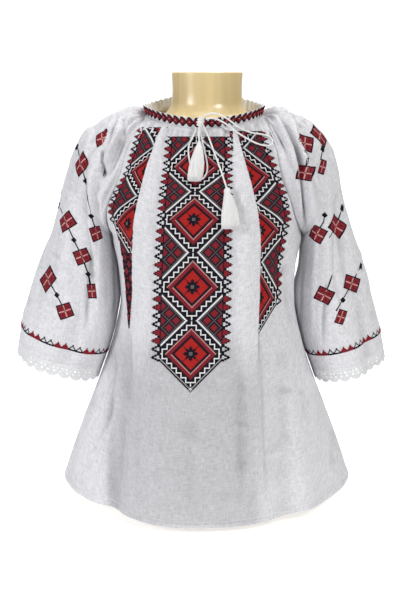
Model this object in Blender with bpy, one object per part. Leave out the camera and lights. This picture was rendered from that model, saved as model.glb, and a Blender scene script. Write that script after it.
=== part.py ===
"""A Romanian ie blouse worn on a limbless dress form. Metres, +Z up, the front faces -Y and the form stands on z = 0.

The blouse is four panels gathered at one neckline: a front, a back and two raglan sleeves. Each panel is a wall
of cloth on a grid of stations down its length and points across it. The panels share their seams, with a narrow gap.
A gathered frill stands round the neckline, lace hangs from the sleeves, and a tied drawstring hangs over the front.
"""
import math

import bmesh
import bpy
import numpy as np

CLOTH = 0.0014          # thickness of the cloth walls
LACE = 0.0012           # thickness of the lace edging
SEAM_GAP = 0.0003       # gap between two pieces that are sewn together
CORD = 0.0028           # diameter of the drawstring

# The neckline, as an oval round the neck's foot; its angle runs from 0 at the front to 180 degrees at the back.
NECK_HALF_WIDTH = 0.096
NECK_CENTRE_X = -0.005
NECK_CENTRE_Y = -0.010
NECK_FRONT_DEPTH = 0.080
NECK_BACK_DEPTH = 0.075
NECK_FRONT_Z = 0.653
NECK_SIDE_Z = 0.670
NECK_BACK_Z = 0.688
FRONT_SHARE = math.radians(76)   # half of the neckline that the front panel takes
BACK_SHARE = math.radians(50)    # half of the neckline that the back panel takes

UNDERARM = 5            # station at which the raglan seams end and the side seams start
FOLD_BACK_START = 0.3   # station from which a sleeve lies over the body beside its raglan seams
FOLD_BACK_END = 3.4     # and from which the two lie face to face

# Front and back: the middle of each section, the seam at its side (its x from the middle), half the angle that it
# sweeps, and how flat it is.
PANEL_COLUMNS = ("middle_x", "middle_z", "middle_y", "seam_x", "seam_y", "seam_z", "sweep", "flat")
FRONT_ROWS = [
    (-0.005, 0.653, -0.0900, 0.0931, -0.0294, 0.6690, 76, 1.00),
    (-0.008, 0.623, -0.1028, 0.1160, -0.0590, 0.6310, 71, 1.05),
    (-0.011, 0.580, -0.1190, 0.1310, -0.0720, 0.5750, 68, 1.15),
    (-0.012, 0.538, -0.1320, 0.1520, -0.0590, 0.5230, 74, 1.20),
    (-0.006, 0.502, -0.1390, 0.1590, -0.0330, 0.4880, 82, 1.15),
    (0.0, 0.468, -0.1415, 0.1610, 0.0, 0.4680, 90, 1.10),
    (0.0, 0.415, -0.1420, 0.1520, 0.0, 0.4150, 90, 1.10),
    (0.0, 0.365, -0.1430, 0.1490, 0.0, 0.3650, 90, 1.10),
    (0.0, 0.300, -0.1470, 0.1610, 0.0, 0.3010, 90, 1.08),
    (0.0, 0.225, -0.1530, 0.1850, 0.0, 0.2280, 90, 1.05),
    (0.0, 0.150, -0.1610, 0.2130, 0.0, 0.1560, 90, 1.00),
    (0.0, 0.075, -0.1690, 0.2380, 0.0, 0.0900, 90, 0.95),
    (0.0, 0.009, -0.1760, 0.2570, 0.0, 0.0330, 90, 0.92),
]
BACK_ROWS = [
    (-0.005, 0.688, 0.0650, 0.0735, 0.0382, 0.6774, 50, 1.00),
    (-0.005, 0.655, 0.0900, 0.0960, 0.0600, 0.6400, 54, 1.05),
    (-0.005, 0.603, 0.1080, 0.1200, 0.0760, 0.5860, 62, 1.10),
    (-0.004, 0.550, 0.1150, 0.1400, 0.0680, 0.5320, 70, 1.15),
    (-0.002, 0.505, 0.1160, 0.1540, 0.0400, 0.4910, 80, 1.10),
    (0.0, 0.468, 0.1150, 0.1610, 0.0, 0.4680, 90, 1.05),
    (0.0, 0.415, 0.1130, 0.1520, 0.0, 0.4150, 90, 1.05),
    (0.0, 0.365, 0.1130, 0.1490, 0.0, 0.3650, 90, 1.05),
    (0.0, 0.300, 0.1210, 0.1610, 0.0, 0.3010, 90, 1.05),
    (0.0, 0.225, 0.1290, 0.1850, 0.0, 0.2280, 90, 1.00),
    (0.0, 0.150, 0.1380, 0.2130, 0.0, 0.1560, 90, 1.00),
    (0.0, 0.075, 0.1460, 0.2380, 0.0, 0.0900, 90, 0.95),
    (0.0, 0.009, 0.1520, 0.2570, 0.0, 0.0330, 90, 0.92),
]

# Sleeves: the highest or outermost point of each section, the point under the arm, the belly that it bulges to the
# front and back, and how full its arch is. Down to the underarm the inner point follows from the raglan seams.
SLEEVE_COLUMNS = ("top_x", "top_y", "top_z", "inner_x", "inner_y", "inner_z", "belly", "full")
SLEEVE_RIGHT_ROWS = [
    (0.096, -0.012, 0.670, 0, 0, 0, 0.002, 0.75),
    (0.124, 0.000, 0.6835, 0, 0, 0, 0.004, 0.75),
    (0.167, 0.003, 0.668, 0, 0, 0, 0.010, 0.80),
    (0.204, 0.006, 0.646, 0, 0, 0, 0.020, 0.85),
    (0.222, 0.008, 0.616, 0, 0, 0, 0.040, 0.95),
    (0.242, 0.008, 0.560, 0.161, 0.000, 0.468, 0.060, 1.0),
    (0.258, 0.008, 0.502, 0.1555, 0.004, 0.418, 0.065, 1.0),
    (0.279, 0.006, 0.446, 0.1520, 0.004, 0.370, 0.067, 1.0),
    (0.296, 0.004, 0.391, 0.1590, 0.003, 0.325, 0.069, 1.0),
    (0.312, 0.002, 0.338, 0.1695, 0.002, 0.283, 0.071, 1.0),
    (0.325, 0.000, 0.281, 0.1860, 0.001, 0.238, 0.073, 1.0),
]
SLEEVE_LEFT_ROWS = [
    (0.096, -0.012, 0.670, 0, 0, 0, 0.002, 0.75),
    (0.118, 0.000, 0.6825, 0, 0, 0, 0.004, 0.75),
    (0.158, 0.003, 0.666, 0, 0, 0, 0.010, 0.80),
    (0.193, 0.006, 0.643, 0, 0, 0, 0.020, 0.85),
    (0.211, 0.008, 0.611, 0, 0, 0, 0.040, 0.95),
    (0.225, 0.008, 0.562, 0.161, 0.000, 0.468, 0.060, 1.0),
    (0.241, 0.008, 0.502, 0.1590, 0.004, 0.418, 0.065, 1.0),
    (0.259, 0.006, 0.442, 0.1525, 0.004, 0.372, 0.067, 1.0),
    (0.276, 0.004, 0.388, 0.1585, 0.003, 0.327, 0.068, 1.0),
    (0.292, 0.002, 0.336, 0.1695, 0.002, 0.283, 0.069, 1.0),
    (0.305, 0.000, 0.272, 0.1865, 0.001, 0.236, 0.070, 1.0),
]

# Soft folds, each a ridge (or a trough, with a negative height) from one station to another. On a panel its place
# across is an x in metres, on a sleeve a share of the way round from the front seam to the back seam. A fold that
# ends past the last station runs on to the hem or the cuff.
FOLD_COLUMNS = ("across_top", "across_low", "width", "height", "start", "end")
FRONT_FOLDS = [
    (-0.070, -0.108, 0.016, 0.0075, 0.0, 9.2),
    (0.046, 0.063, 0.014, 0.0080, 0.0, 9.2),
    (-0.125, -0.195, 0.022, -0.0160, 6.6, 16.0),
    (-0.060, -0.085, 0.050, 0.0090, 7.0, 18.0),
    (0.110, 0.160, 0.030, -0.0070, 7.2, 17.0),
    (0.125, 0.225, 0.022, 0.0060, 7.4, 17.0),
]
BACK_FOLDS = [
    (-0.060, -0.125, 0.024, -0.0120, 6.0, 16.0),
    (0.010, 0.005, 0.030, 0.0080, 5.0, 16.0),
    (0.070, 0.130, 0.026, -0.0120, 6.5, 17.0),
    (-0.035, -0.040, 0.014, 0.0040, 0.0, 4.5),
    (0.040, 0.045, 0.014, 0.0040, 0.0, 4.8),
]
SLEEVE_RIGHT_FOLDS = [
    (0.22, 0.16, 0.055, 0.0080, 0.1, 10.0),
    (0.12, 0.28, 0.040, -0.0065, 0.2, 14.0),
    (0.42, 0.40, 0.050, -0.0050, 0.0, 5.5),
    (0.62, 0.68, 0.050, 0.0060, 0.1, 7.0),
    (0.80, 0.74, 0.045, -0.0070, 0.2, 14.0),
    (0.50, 0.56, 0.060, 0.0060, 5.5, 14.0),
]
SLEEVE_LEFT_FOLDS = [
    (0.20, 0.14, 0.050, 0.0075, 0.1, 7.0),
    (0.33, 0.37, 0.045, -0.0100, 4.0, 14.0),
    (0.36, 0.30, 0.045, 0.0055, 0.0, 5.5),
    (0.64, 0.66, 0.050, 0.0060, 0.1, 7.0),
    (0.80, 0.76, 0.045, -0.0070, 0.2, 14.0),
    (0.46, 0.54, 0.050, 0.0050, 5.5, 14.0),
]
FOLD_RISE = 0.30        # share of a fold's length over which it rises
FOLD_FADE = 0.25        # and over which it fades
FOLD_EDGE = 0.16        # share of a panel beside each seam over which the folds level out

# Gathers under the neckline: how many waves each panel has, their height, and the station where they have faded.
FRONT_GATHERS = 13
BACK_GATHERS = 8
SLEEVE_GATHERS = 9
GATHER_HEIGHT = 0.0022
GATHER_RISE = 0.25
GATHER_END = 2.0
COLUMNS_PER_GATHER = 3

FRILL_HEIGHT = 0.0150
FRILL_WAVES = 52
FRILL_WAVE_HEIGHT = 0.0022
FRILL_LEAN = 0.0030       # how far the frill's top leans out
FRILL_FOOT = 0.0022       # height of the frill's foot above the neckline
FRILL_INSET = 0.0006      # and how far inside the neckline it stands

LACE_DEPTH = 0.0230
LACE_SCALLOPS = 21
SCALLOP_DEPTH = 0.0070
LACE_GAP = 0.0005         # gap between a sleeve's end and its lace, measured along the sleeve
LACE_RUN = 0.25           # stretch of the sleeve's end, in stations, whose direction the lace carries on

# The drawstring comes out at the front and is tied in a bow: a knot, two loops that go out and come back, and two
# ends that carry tassels. Each route lists points that pull a cord's centre line, from the knot outwards.
KNOT_CENTRE = (-0.0110, -0.0994, 0.6650)
KNOT_HALF_SIZE = (0.0066, 0.0056, 0.0104)
KNOT_LEAN = 0.22        # how far the knot's top leans to the left for each metre of height
KNOT_TURNS = 3          # wraps that show as ridges round the knot
KNOT_RIDGE = 0.10       # their height as a share of the knot's radius
KNOT_GRID = (16, 10)    # points round it and steps down it
CORD_SPACING = 0.0068   # distance between the points of a cord's curve
CORD_ROUTES = {
    "loop_right": [
        (-0.0178, -0.0990, 0.6555), (-0.0192, -0.0972, 0.6500), (-0.0215, -0.0966, 0.6445),
        (-0.0255, -0.1000, 0.6370), (-0.0290, -0.1022, 0.6300), (-0.0303, -0.1060, 0.6210),
        (-0.0296, -0.1098, 0.6120), (-0.0276, -0.1136, 0.6030), (-0.0252, -0.1173, 0.5930),
        (-0.0212, -0.1207, 0.5838), (-0.0157, -0.1228, 0.5778), (-0.0095, -0.1231, 0.5768),
        (-0.0040, -0.1221, 0.5808), (-0.0008, -0.1198, 0.5882), (0.0000, -0.1165, 0.5972),
        (-0.0022, -0.1122, 0.6092), (-0.0052, -0.1080, 0.6213), (-0.0078, -0.1045, 0.6319),
        (-0.0100, -0.0998, 0.6420), (-0.0112, -0.0962, 0.6490), (-0.0116, -0.0960, 0.6522),
    ],
    "loop_left": [
        (-0.0051, -0.0985, 0.6736), (0.0005, -0.0985, 0.6760), (0.0075, -0.0983, 0.6775),
        (0.0160, -0.0975, 0.6768), (0.0240, -0.0960, 0.6735), (0.0320, -0.0940, 0.6685),
        (0.0425, -0.0900, 0.6600), (0.0535, -0.0878, 0.6525), (0.0640, -0.0842, 0.6480),
        (0.0740, -0.0805, 0.6455), (0.0840, -0.0762, 0.6440), (0.0930, -0.0712, 0.6420),
        (0.1010, -0.0690, 0.6390), (0.1062, -0.0705, 0.6330), (0.1030, -0.0755, 0.6268),
        (0.0945, -0.0832, 0.6255), (0.0835, -0.0878, 0.6280), (0.0720, -0.0908, 0.6325),
        (0.0600, -0.0915, 0.6395), (0.0480, -0.0925, 0.6466), (0.0385, -0.0940, 0.6540),
        (0.0290, -0.0955, 0.6610), (0.0190, -0.0985, 0.6670), (0.0100, -0.1010, 0.6700),
        (0.0030, -0.1018, 0.6700), (-0.0030, -0.1014, 0.6688),
    ],
    "end_right": [
        (-0.0133, -0.1002, 0.6541), (-0.0138, -0.1008, 0.6480), (-0.0134, -0.1035, 0.6410),
        (-0.0130, -0.1055, 0.6368),
    ],
    "end_left": [
        (-0.0060, -0.0991, 0.6577), (-0.0030, -0.0966, 0.6500), (0.0014, -0.0996, 0.6423),
        (0.0062, -0.1062, 0.6289), (0.0111, -0.1113, 0.6160), (0.0153, -0.1147, 0.6055),
        (0.0195, -0.1186, 0.5943), (0.0238, -0.1236, 0.5823), (0.0272, -0.1288, 0.5722),
        (0.0295, -0.1325, 0.5652),
    ],
}

# Tassels: a tied head at the end of a cord, and a skirt of strands that swells below it. Their half widths run
# across the front, and the last column is half of the skirt's depth.
TASSELS = {
    "tassel_right": {
        "head": (-0.0128, -0.1075, 0.6325), "head_radius": 0.0038,
        "middle": (-0.0163, -0.1200, 0.6030), "middle_half": (0.0112, -0.0008, 0.0),
        "foot": (-0.0202, -0.1318, 0.5755), "foot_half": (0.0102, -0.0010, 0.0),
    },
    "tassel_left": {
        "head": (0.0308, -0.1350, 0.5595), "head_radius": 0.0056,
        "middle": (0.0345, -0.1440, 0.5320), "middle_half": (0.0125, 0.0025, 0.0),
        "foot": (0.0355, -0.1520, 0.5040), "foot_half": (0.0143, 0.0030, 0.0),
    },
}
TASSEL_DEPTH = (0.0, 0.0042, 0.0)   # half of the skirt's depth
TASSEL_STRANDS = 28
HEAD_GRID = (12, 7)         # points round a head and steps down it
STRAND_SPREAD = 0.66        # radius of the ring of roots as a share of the head's
STRAND_ROOT = 0.00042       # radius of a strand at its root
STRAND_FOOT = 0.00090       # and from its middle down
STRAND_CORNERS = 3
ROOT_DROP = 0.3             # how far below the head's middle the roots start, as a share of its radius
GOLDEN_ANGLE = math.pi * (3 - math.sqrt(5))

# The form: height, half width, depth to the front and to the back of each ring, and how square its oval is.
FORM_COLUMNS = ("z", "half_width", "front", "back", "square")
FORM_ROWS = [
    (0.740, 0.0590, 0.0540, 0.0560, 2.0),
    (0.712, 0.0580, 0.0545, 0.0565, 2.0),
    (0.692, 0.0590, 0.0560, 0.0580, 2.0),
    (0.677, 0.0665, 0.0620, 0.0640, 2.0),
    (0.667, 0.0800, 0.0740, 0.0710, 2.0),
    (0.655, 0.0945, 0.0877, 0.0785, 2.0),
    (0.640, 0.1120, 0.0905, 0.0840, 2.0),
    (0.620, 0.1290, 0.0925, 0.0910, 2.0),
    (0.590, 0.1430, 0.1015, 0.0980, 2.0),
    (0.555, 0.1450, 0.1160, 0.1010, 2.0),
    (0.515, 0.1430, 0.1330, 0.1020, 2.0),
    (0.470, 0.1390, 0.1310, 0.1000, 2.1),
    (0.420, 0.1300, 0.1120, 0.0980, 2.2),
    (0.365, 0.1220, 0.0980, 0.0960, 2.2),
    (0.300, 0.1370, 0.1040, 0.1050, 2.2),
    (0.220, 0.1600, 0.1090, 0.1160, 2.2),
    (0.120, 0.1640, 0.1060, 0.1180, 2.2),
    (0.000, 0.1560, 0.1000, 0.1080, 2.2),
]
FORM_SIDES = 32
SHARP_CLOTH = math.radians(60)   # faces that meet at more than this have a sharp edge between them
SHARP_FORM = math.radians(40)

MATERIALS = {
    "white_cotton": ((0.86, 0.86, 0.88), 0.85, 0.0),
    "white_lace": ((0.84, 0.85, 0.86), 0.80, 0.0),
    "white_cord": ((0.90, 0.89, 0.87), 0.70, 0.0),
    "gold_plastic": ((0.56, 0.44, 0.24), 0.25, 0.0),
    "crimson_thread": ((0.28, 0.02, 0.04), 0.75, 0.0),
}


def table(columns, rows):
    """A table's columns as arrays, by name."""
    return dict(zip(columns, np.array(rows, float).T))


def spline(values, at):
    """Smooth curve through values that stand at 0, 1, 2 and so on, read at each place in at.

    A cubic between each two values, whose slope at a value is the harmonic mean of the steps on both sides, or
    level where they turn, so the curve never swings past its values.
    """
    values = np.asarray(values, float)
    steps = np.diff(values)
    turns = steps[:-1] * steps[1:]
    sums = np.where(turns > 0, steps[:-1] + steps[1:], 1)
    slopes = np.concatenate([steps[:1], np.where(turns > 0, 2 * turns / sums, 0), steps[-1:]])
    at = np.clip(np.asarray(at, float), 0, len(values) - 1)
    start = np.minimum(at.astype(int), len(values) - 2)
    t = at - start
    low, high = values[start], values[start + 1]
    return (
        low
        + slopes[start] * t * (1 - t) ** 2
        - slopes[start + 1] * t ** 2 * (1 - t)
        + (high - low) * t ** 2 * (3 - 2 * t)
    )


def read(columns, name, at):
    return spline(columns[name], at)


def smooth(value):
    """0 up to 0, 1 from 1 on, and a soft S between."""
    value = np.clip(value, 0, 1)
    return value * value * (3 - 2 * value)


def stack(x, y, z):
    return np.stack(np.broadcast_arrays(x, y, z), axis=-1)


def unit(vectors):
    return vectors / np.linalg.norm(vectors, axis=-1, keepdims=True)


def neckline(angle):
    """The neckline's point at an angle from the front."""
    facing = np.cos(angle)
    side = np.sin(angle) ** 2
    depth = np.where(facing > 0, NECK_FRONT_DEPTH, NECK_BACK_DEPTH)
    end_z = np.where(facing > 0, NECK_FRONT_Z, NECK_BACK_Z)
    return stack(
        NECK_CENTRE_X + NECK_HALF_WIDTH * np.sin(angle),
        NECK_CENTRE_Y - depth * facing,
        end_z + (NECK_SIDE_Z - end_z) * side,
    )


def panel_base(columns, station, across):
    """The front's or back's middle surface, smooth: across runs from -1 at one seam to 1 at the other."""
    sweep = np.radians(read(columns, "sweep", station))
    angle = across * sweep
    share = np.sin(angle) / np.sin(sweep)
    bend = ((1 - np.cos(angle)) / (1 - np.cos(sweep))) ** read(columns, "flat", station)
    middle_y = read(columns, "middle_y", station)
    middle_z = read(columns, "middle_z", station)
    return stack(
        read(columns, "middle_x", station) + read(columns, "seam_x", station) * share,
        middle_y + (read(columns, "seam_y", station) - middle_y) * bend,
        middle_z + (read(columns, "seam_z", station) - middle_z) * share ** 2,
    )


def seam_points(columns, station, side):
    return panel_base(columns, station, np.full_like(np.asarray(station, float), side))


def fold_back(station):
    """How far the sleeve folds back on the body along the raglan seams: 0 at the neckline, 1 near the underarm."""
    return smooth((station - FOLD_BACK_START) / (FOLD_BACK_END - FOLD_BACK_START))


def sleeve_base(columns, side, station, around):
    """A sleeve's middle surface: around runs from 0 at the front seam over the shoulder to 1 at the back seam.

    Each section rises from under the arm to the sleeve's top, parts to the two raglan seams, and bulges by its belly.
    """
    raglan = np.minimum(station, UNDERARM)
    beside = stack(side * (CLOTH + SEAM_GAP) * fold_back(raglan), 0, 0)
    front = seam_points(FRONT, raglan, side) + beside
    back = seam_points(BACK, raglan, side) + beside
    below = stack(
        side * read(columns, "inner_x", station),
        read(columns, "inner_y", station),
        read(columns, "inner_z", station),
    )
    inner = np.where((station <= UNDERARM)[..., None], (front + back) / 2, below)
    part = (front - back) / 2
    top = stack(
        side * read(columns, "top_x", station),
        read(columns, "top_y", station),
        read(columns, "top_z", station),
    )
    rise = (np.sin(math.pi * around) ** 2 + 1e-12) ** read(columns, "full", station)
    belly = read(columns, "belly", station) * np.sin(2 * math.pi * around)
    points = inner + (top - inner) * rise[..., None] + part * np.cos(math.pi * around)[..., None]
    points[..., 1] -= belly
    return points


def sleeve_points(columns, side, station, around):
    """The sleeve's middle surface, brought exactly to the neckline at its first station."""
    points = sleeve_base(columns, side, station, around)
    start = sleeve_base(columns, side, np.zeros_like(station), around)
    angle = FRONT_SHARE + (math.pi - BACK_SHARE - FRONT_SHARE) * around
    target = neckline(side * angle)
    fade = np.clip(1 - station, 0, 1) ** 2
    return points + (target - start) * fade[..., None]


def grid_normals(points, outward):
    """Unit normals of a grid of points, on the side of the direction given."""
    normals = unit(np.cross(np.gradient(points, axis=0), np.gradient(points, axis=1)))
    middle = normals[normals.shape[0] // 2, normals.shape[1] // 2]
    return normals if middle @ np.asarray(outward) > 0 else -normals


def fold_heights(folds, station, across):
    """The sum of soft ridges and troughs at each grid point: a bell across each fold, rising and fading along it."""
    heights = np.zeros(np.broadcast(station, across).shape)
    for row in folds:
        fold = dict(zip(FOLD_COLUMNS, row))
        length = fold["end"] - fold["start"]
        along = (station - fold["start"]) / length
        centre = fold["across_top"] + (fold["across_low"] - fold["across_top"]) * np.clip(along, 0, 1)
        window = smooth(along / FOLD_RISE) * smooth((1 - along) / FOLD_FADE)
        heights += fold["height"] * window * np.exp(-((across - centre) / fold["width"]) ** 2)
    return heights


def gather_heights(waves, station, share):
    """Waves across the cloth that start under the neckline and have faded by GATHER_END."""
    window = smooth(station / GATHER_RISE) * smooth((GATHER_END - station) / GATHER_END)
    return GATHER_HEIGHT * window * np.cos(2 * math.pi * waves * share)


FRONT = table(PANEL_COLUMNS, FRONT_ROWS)
BACK = table(PANEL_COLUMNS, BACK_ROWS)
SLEEVES = {
    "right": (-1, table(SLEEVE_COLUMNS, SLEEVE_RIGHT_ROWS), SLEEVE_RIGHT_FOLDS),
    "left": (1, table(SLEEVE_COLUMNS, SLEEVE_LEFT_ROWS), SLEEVE_LEFT_FOLDS),
}

RAGLAN_STATIONS = [0, 0.12, 0.35, 0.7, 1.1, 1.6, 2.1, 2.7, 3.3, 3.9, 4.5, 5]
BODY_STATIONS = RAGLAN_STATIONS + [5.7, 6.4, 7.1, 7.8, 8.6, 9.4, 10.3, 11.2, 12]
ARM_STATIONS = RAGLAN_STATIONS + [5.6, 6.3, 7.1, 7.9, 8.6, 9.3, 10]
RAGLAN = slice(0, len(RAGLAN_STATIONS))
UNDERARM_ROW = len(RAGLAN_STATIONS) - 1
FINE_STEPS = 240        # steps used to measure a length along a panel


def even_across(base, stations, columns, low, high):
    """Places across a panel that are even along its cloth, with half of the seam's gap left at both ends."""
    fine = np.linspace(low, high, FINE_STEPS)
    station = np.array(stations, float)[:, None]
    points = base(station + 0 * fine, fine + 0 * station)
    steps = np.linalg.norm(np.diff(points, axis=1), axis=2)
    places = []
    for row in steps:
        run = np.concatenate([[0], np.cumsum(row)])
        places.append(np.interp(np.linspace(SEAM_GAP / 2, run[-1] - SEAM_GAP / 2, columns), run, fine))
    return np.array(places)


def displaced(points, heights, outward):
    return points + grid_normals(points, outward) * heights[..., None]


def panel_points(columns, folds, gathers, station, across, outward):
    """The front's or back's middle surface with its folds and gathers."""
    points = panel_base(columns, station, across)
    share = np.linspace(0, 1, across.shape[1])
    heights = fold_heights(folds, station, points[..., 0]) + gather_heights(gathers, station, share)
    return displaced(points, heights * smooth((1 - np.abs(across)) / FOLD_EDGE), outward)


def sleeve_surface(side, station, around):
    """A sleeve's middle surface with its folds and gathers, which never push it over the body."""
    _, columns, folds = SLEEVES[side]
    turn = SLEEVES[side][0]
    points = sleeve_points(columns, turn, station, around)
    share = np.linspace(0, 1, around.shape[1])
    heights = fold_heights(folds, station, around) + gather_heights(SLEEVE_GATHERS, station, share)
    edge = smooth(np.minimum(around, 1 - around) / (FOLD_EDGE / 2))
    away = grid_normals(points, (turn, 0, 0))
    away[..., 0] = turn * np.maximum(turn * away[..., 0], 0)
    return points + away * (heights * edge)[..., None]


def cloth_grids():
    """The middle points and normals of the four panels, with the normals shared along every seam."""
    body = np.array(BODY_STATIONS, float)[:, None]
    arm = np.array(ARM_STATIONS, float)[:, None]
    grids = {}
    for name, columns, folds, gathers, outward in (
        ("front", FRONT, FRONT_FOLDS, FRONT_GATHERS, (0, -1, 0)),
        ("back", BACK, BACK_FOLDS, BACK_GATHERS, (0, 1, 0)),
    ):
        count = gathers * COLUMNS_PER_GATHER + 1
        across = even_across(lambda t, u: panel_base(columns, t, u), BODY_STATIONS, count, -1, 1)
        points = panel_points(columns, folds, gathers, body + 0 * across, across, outward)
        grids[name] = [points, grid_normals(points, outward)]
    for side, (turn, columns, _) in SLEEVES.items():
        count = SLEEVE_GATHERS * COLUMNS_PER_GATHER + 1
        around = even_across(
            lambda t, w: sleeve_points(columns, turn, t, w), ARM_STATIONS, count, 0, 1
        )
        points = sleeve_surface(side, arm + 0 * around, around)
        grids["sleeve_" + side] = [points, grid_normals(points, (turn, 0, 0))]
    share_normals(grids)
    return grids


def share_normals(grids):
    """Gives both sides of each seam one normal, so that the walls' rims face each other across the gap.

    Where the sleeve folds back on the body, each keeps its own, and their outer faces lie against each other.
    """
    front, back = grids["front"][1], grids["back"][1]
    for side, (turn, _, _) in SLEEVES.items():
        sleeve = grids["sleeve_" + side][1]
        end = 0 if turn < 0 else -1
        flow = 1 - fold_back(np.array(RAGLAN_STATIONS, float))[:, None]
        for panel, edge in ((front, 0), (back, -1)):
            body, arm = panel[RAGLAN, end].copy(), sleeve[RAGLAN, edge].copy()
            panel[RAGLAN, end] = unit(body + flow * arm)
            sleeve[RAGLAN, edge] = unit(arm + flow * body)
        under = unit(sleeve[UNDERARM_ROW:, 0] + sleeve[UNDERARM_ROW:, -1])
        sleeve[UNDERARM_ROW:, 0] = under
        sleeve[UNDERARM_ROW:, -1] = under
        sides = unit(front[UNDERARM_ROW:, end] + back[UNDERARM_ROW:, end])
        front[UNDERARM_ROW:, end] = sides
        back[UNDERARM_ROW:, end] = sides


def wall_mesh(name, points, normals, thickness, ring=False):
    """A closed wall on a grid of middle points. A ring's last column joins its first."""
    rows, columns = points.shape[:2]
    outer = (points + normals * thickness / 2).reshape(-1, 3)
    inner = (points - normals * thickness / 2).reshape(-1, 3)
    index = np.arange(rows * columns).reshape(rows, columns)
    if ring:
        index = np.hstack([index, index[:, :1]])
    quads = np.stack([index[:-1, :-1], index[:-1, 1:], index[1:, 1:], index[1:, :-1]], axis=-1).reshape(-1, 4)
    inside = rows * columns
    faces = [quads, quads[:, ::-1] + inside]
    borders = [index[0], index[-1][::-1]]
    if not ring:
        borders += [index[::-1, 0], index[:, -1]]
    for border in borders:
        faces.append(np.stack([border[1:], border[:-1], border[:-1] + inside, border[1:] + inside], axis=-1))
    mesh = bpy.data.meshes.new(name)
    mesh.from_pydata(np.vstack([outer, inner]).tolist(), [], np.vstack(faces).tolist())
    return mesh


def material(name):
    colour, roughness, metallic = MATERIALS[name]
    made = bpy.data.materials.get(name) or bpy.data.materials.new(name)
    made.use_nodes = True
    shader = made.node_tree.nodes["Principled BSDF"]
    shader.inputs["Base Color"].default_value = (*colour, 1)
    shader.inputs["Roughness"].default_value = roughness
    shader.inputs["Metallic"].default_value = metallic
    return made


def add_solid(name, mesh, material_name, sharp=SHARP_CLOTH):
    """Puts a closed mesh in the scene as a node, with its faces pointing out."""
    work = bmesh.new()
    work.from_mesh(mesh)
    bmesh.ops.recalc_face_normals(work, faces=work.faces)
    if work.calc_volume(signed=True) < 0:
        bmesh.ops.reverse_faces(work, faces=work.faces)
    work.to_mesh(mesh)
    work.free()
    mesh.materials.append(material(material_name))
    mesh.shade_smooth()
    mesh.set_sharp_from_angle(angle=sharp)
    solid = bpy.data.objects.new(name, mesh)
    bpy.context.scene.collection.objects.link(solid)
    return solid


def ring_normals(points, centre):
    """Normals of a grid whose last column joins its first, pointing away from the centre."""
    wrapped = np.concatenate([points[:, -1:], points, points[:, :1]], axis=1)
    normals = unit(np.cross(np.gradient(wrapped, axis=0), np.gradient(wrapped, axis=1)))[:, 1:-1]
    away = points - np.asarray(centre)
    return normals if (normals * away).sum() > 0 else -normals


def make_frill():
    """The gathered strip that stands on the neckline, waved more towards its free edge."""
    columns = FRILL_WAVES * COLUMNS_PER_GATHER
    angle = np.linspace(0, 2 * math.pi, columns, endpoint=False)
    foot = neckline(angle) + (0, 0, FRILL_FOOT)
    out = unit(stack(foot[:, 0] - NECK_CENTRE_X, foot[:, 1] - NECK_CENTRE_Y, np.zeros(columns)))
    wave = FRILL_WAVE_HEIGHT * np.cos(FRILL_WAVES * angle)
    rows = []
    for rise, lean, waved in ((0.0, 0.0, 0.15), (1.0, 1.0, 1.0)):
        away = (FRILL_LEAN * lean + wave * waved - FRILL_INSET)[:, None]
        rows.append(foot + out * away + np.array([0, 0, FRILL_HEIGHT * rise]))
    points = np.array(rows)
    middle = (NECK_CENTRE_X, NECK_CENTRE_Y, NECK_SIDE_Z)
    mesh = wall_mesh("neck_frill", points, ring_normals(points, middle), CLOTH, ring=True)
    add_solid("neck_frill", mesh, "crimson_thread")


def make_lace(side):
    """The scalloped edging under a sleeve's end, on the sleeve's own line."""
    columns = LACE_SCALLOPS * COLUMNS_PER_GATHER
    around = np.linspace(0, 1, columns, endpoint=False)
    last = ARM_STATIONS[-1]
    station = np.array([[last - LACE_RUN], [last]])
    pair = sleeve_surface(side, station + 0 * around, around + 0 * station)
    edge = pair[1]
    down = unit(pair[1] - pair[0])
    scallop = np.abs(np.sin(math.pi * LACE_SCALLOPS * around)) / math.sin(math.pi / COLUMNS_PER_GATHER)
    depth = LACE_DEPTH - SCALLOP_DEPTH * (1 - np.clip(scallop, 0, 1))
    rows = [LACE_GAP + 0 * depth, depth]
    points = np.array([edge + down * row[:, None] for row in rows])
    middle = edge.mean(axis=0)
    mesh = wall_mesh("lace_" + side, points, ring_normals(points, middle), LACE, ring=True)
    add_solid("lace_" + side, mesh, "white_lace")


def make_form():
    """The limbless form: oval rings from its flat base to its flat neck, closed at both ends."""
    columns = table(FORM_COLUMNS, FORM_ROWS)
    at = np.arange(len(FORM_ROWS), dtype=float)
    angle = np.linspace(0, 2 * math.pi, FORM_SIDES, endpoint=False)
    cosine, sine = np.cos(angle), np.sin(angle)
    power = 2 / read(columns, "square", at)[:, None]
    depth = np.where(sine < 0, columns["front"][:, None], columns["back"][:, None])
    x = columns["half_width"][:, None] * np.sign(cosine) * np.abs(cosine) ** power
    y = depth * np.sign(sine) * np.abs(sine) ** power
    points = stack(x, y, columns["z"][:, None]).reshape(-1, 3)
    index = np.arange(len(points)).reshape(len(FORM_ROWS), FORM_SIDES)
    index = np.hstack([index, index[:, :1]])
    faces = np.stack([index[:-1, :-1], index[1:, :-1], index[1:, 1:], index[:-1, 1:]], axis=-1)
    ends = [index[0, :-1].tolist(), index[-1, :-1][::-1].tolist()]
    mesh = bpy.data.meshes.new("dress_form")
    mesh.from_pydata(points.tolist(), [], faces.reshape(-1, 4).tolist() + ends)
    add_solid("dress_form", mesh, "gold_plastic", SHARP_FORM)


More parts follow.
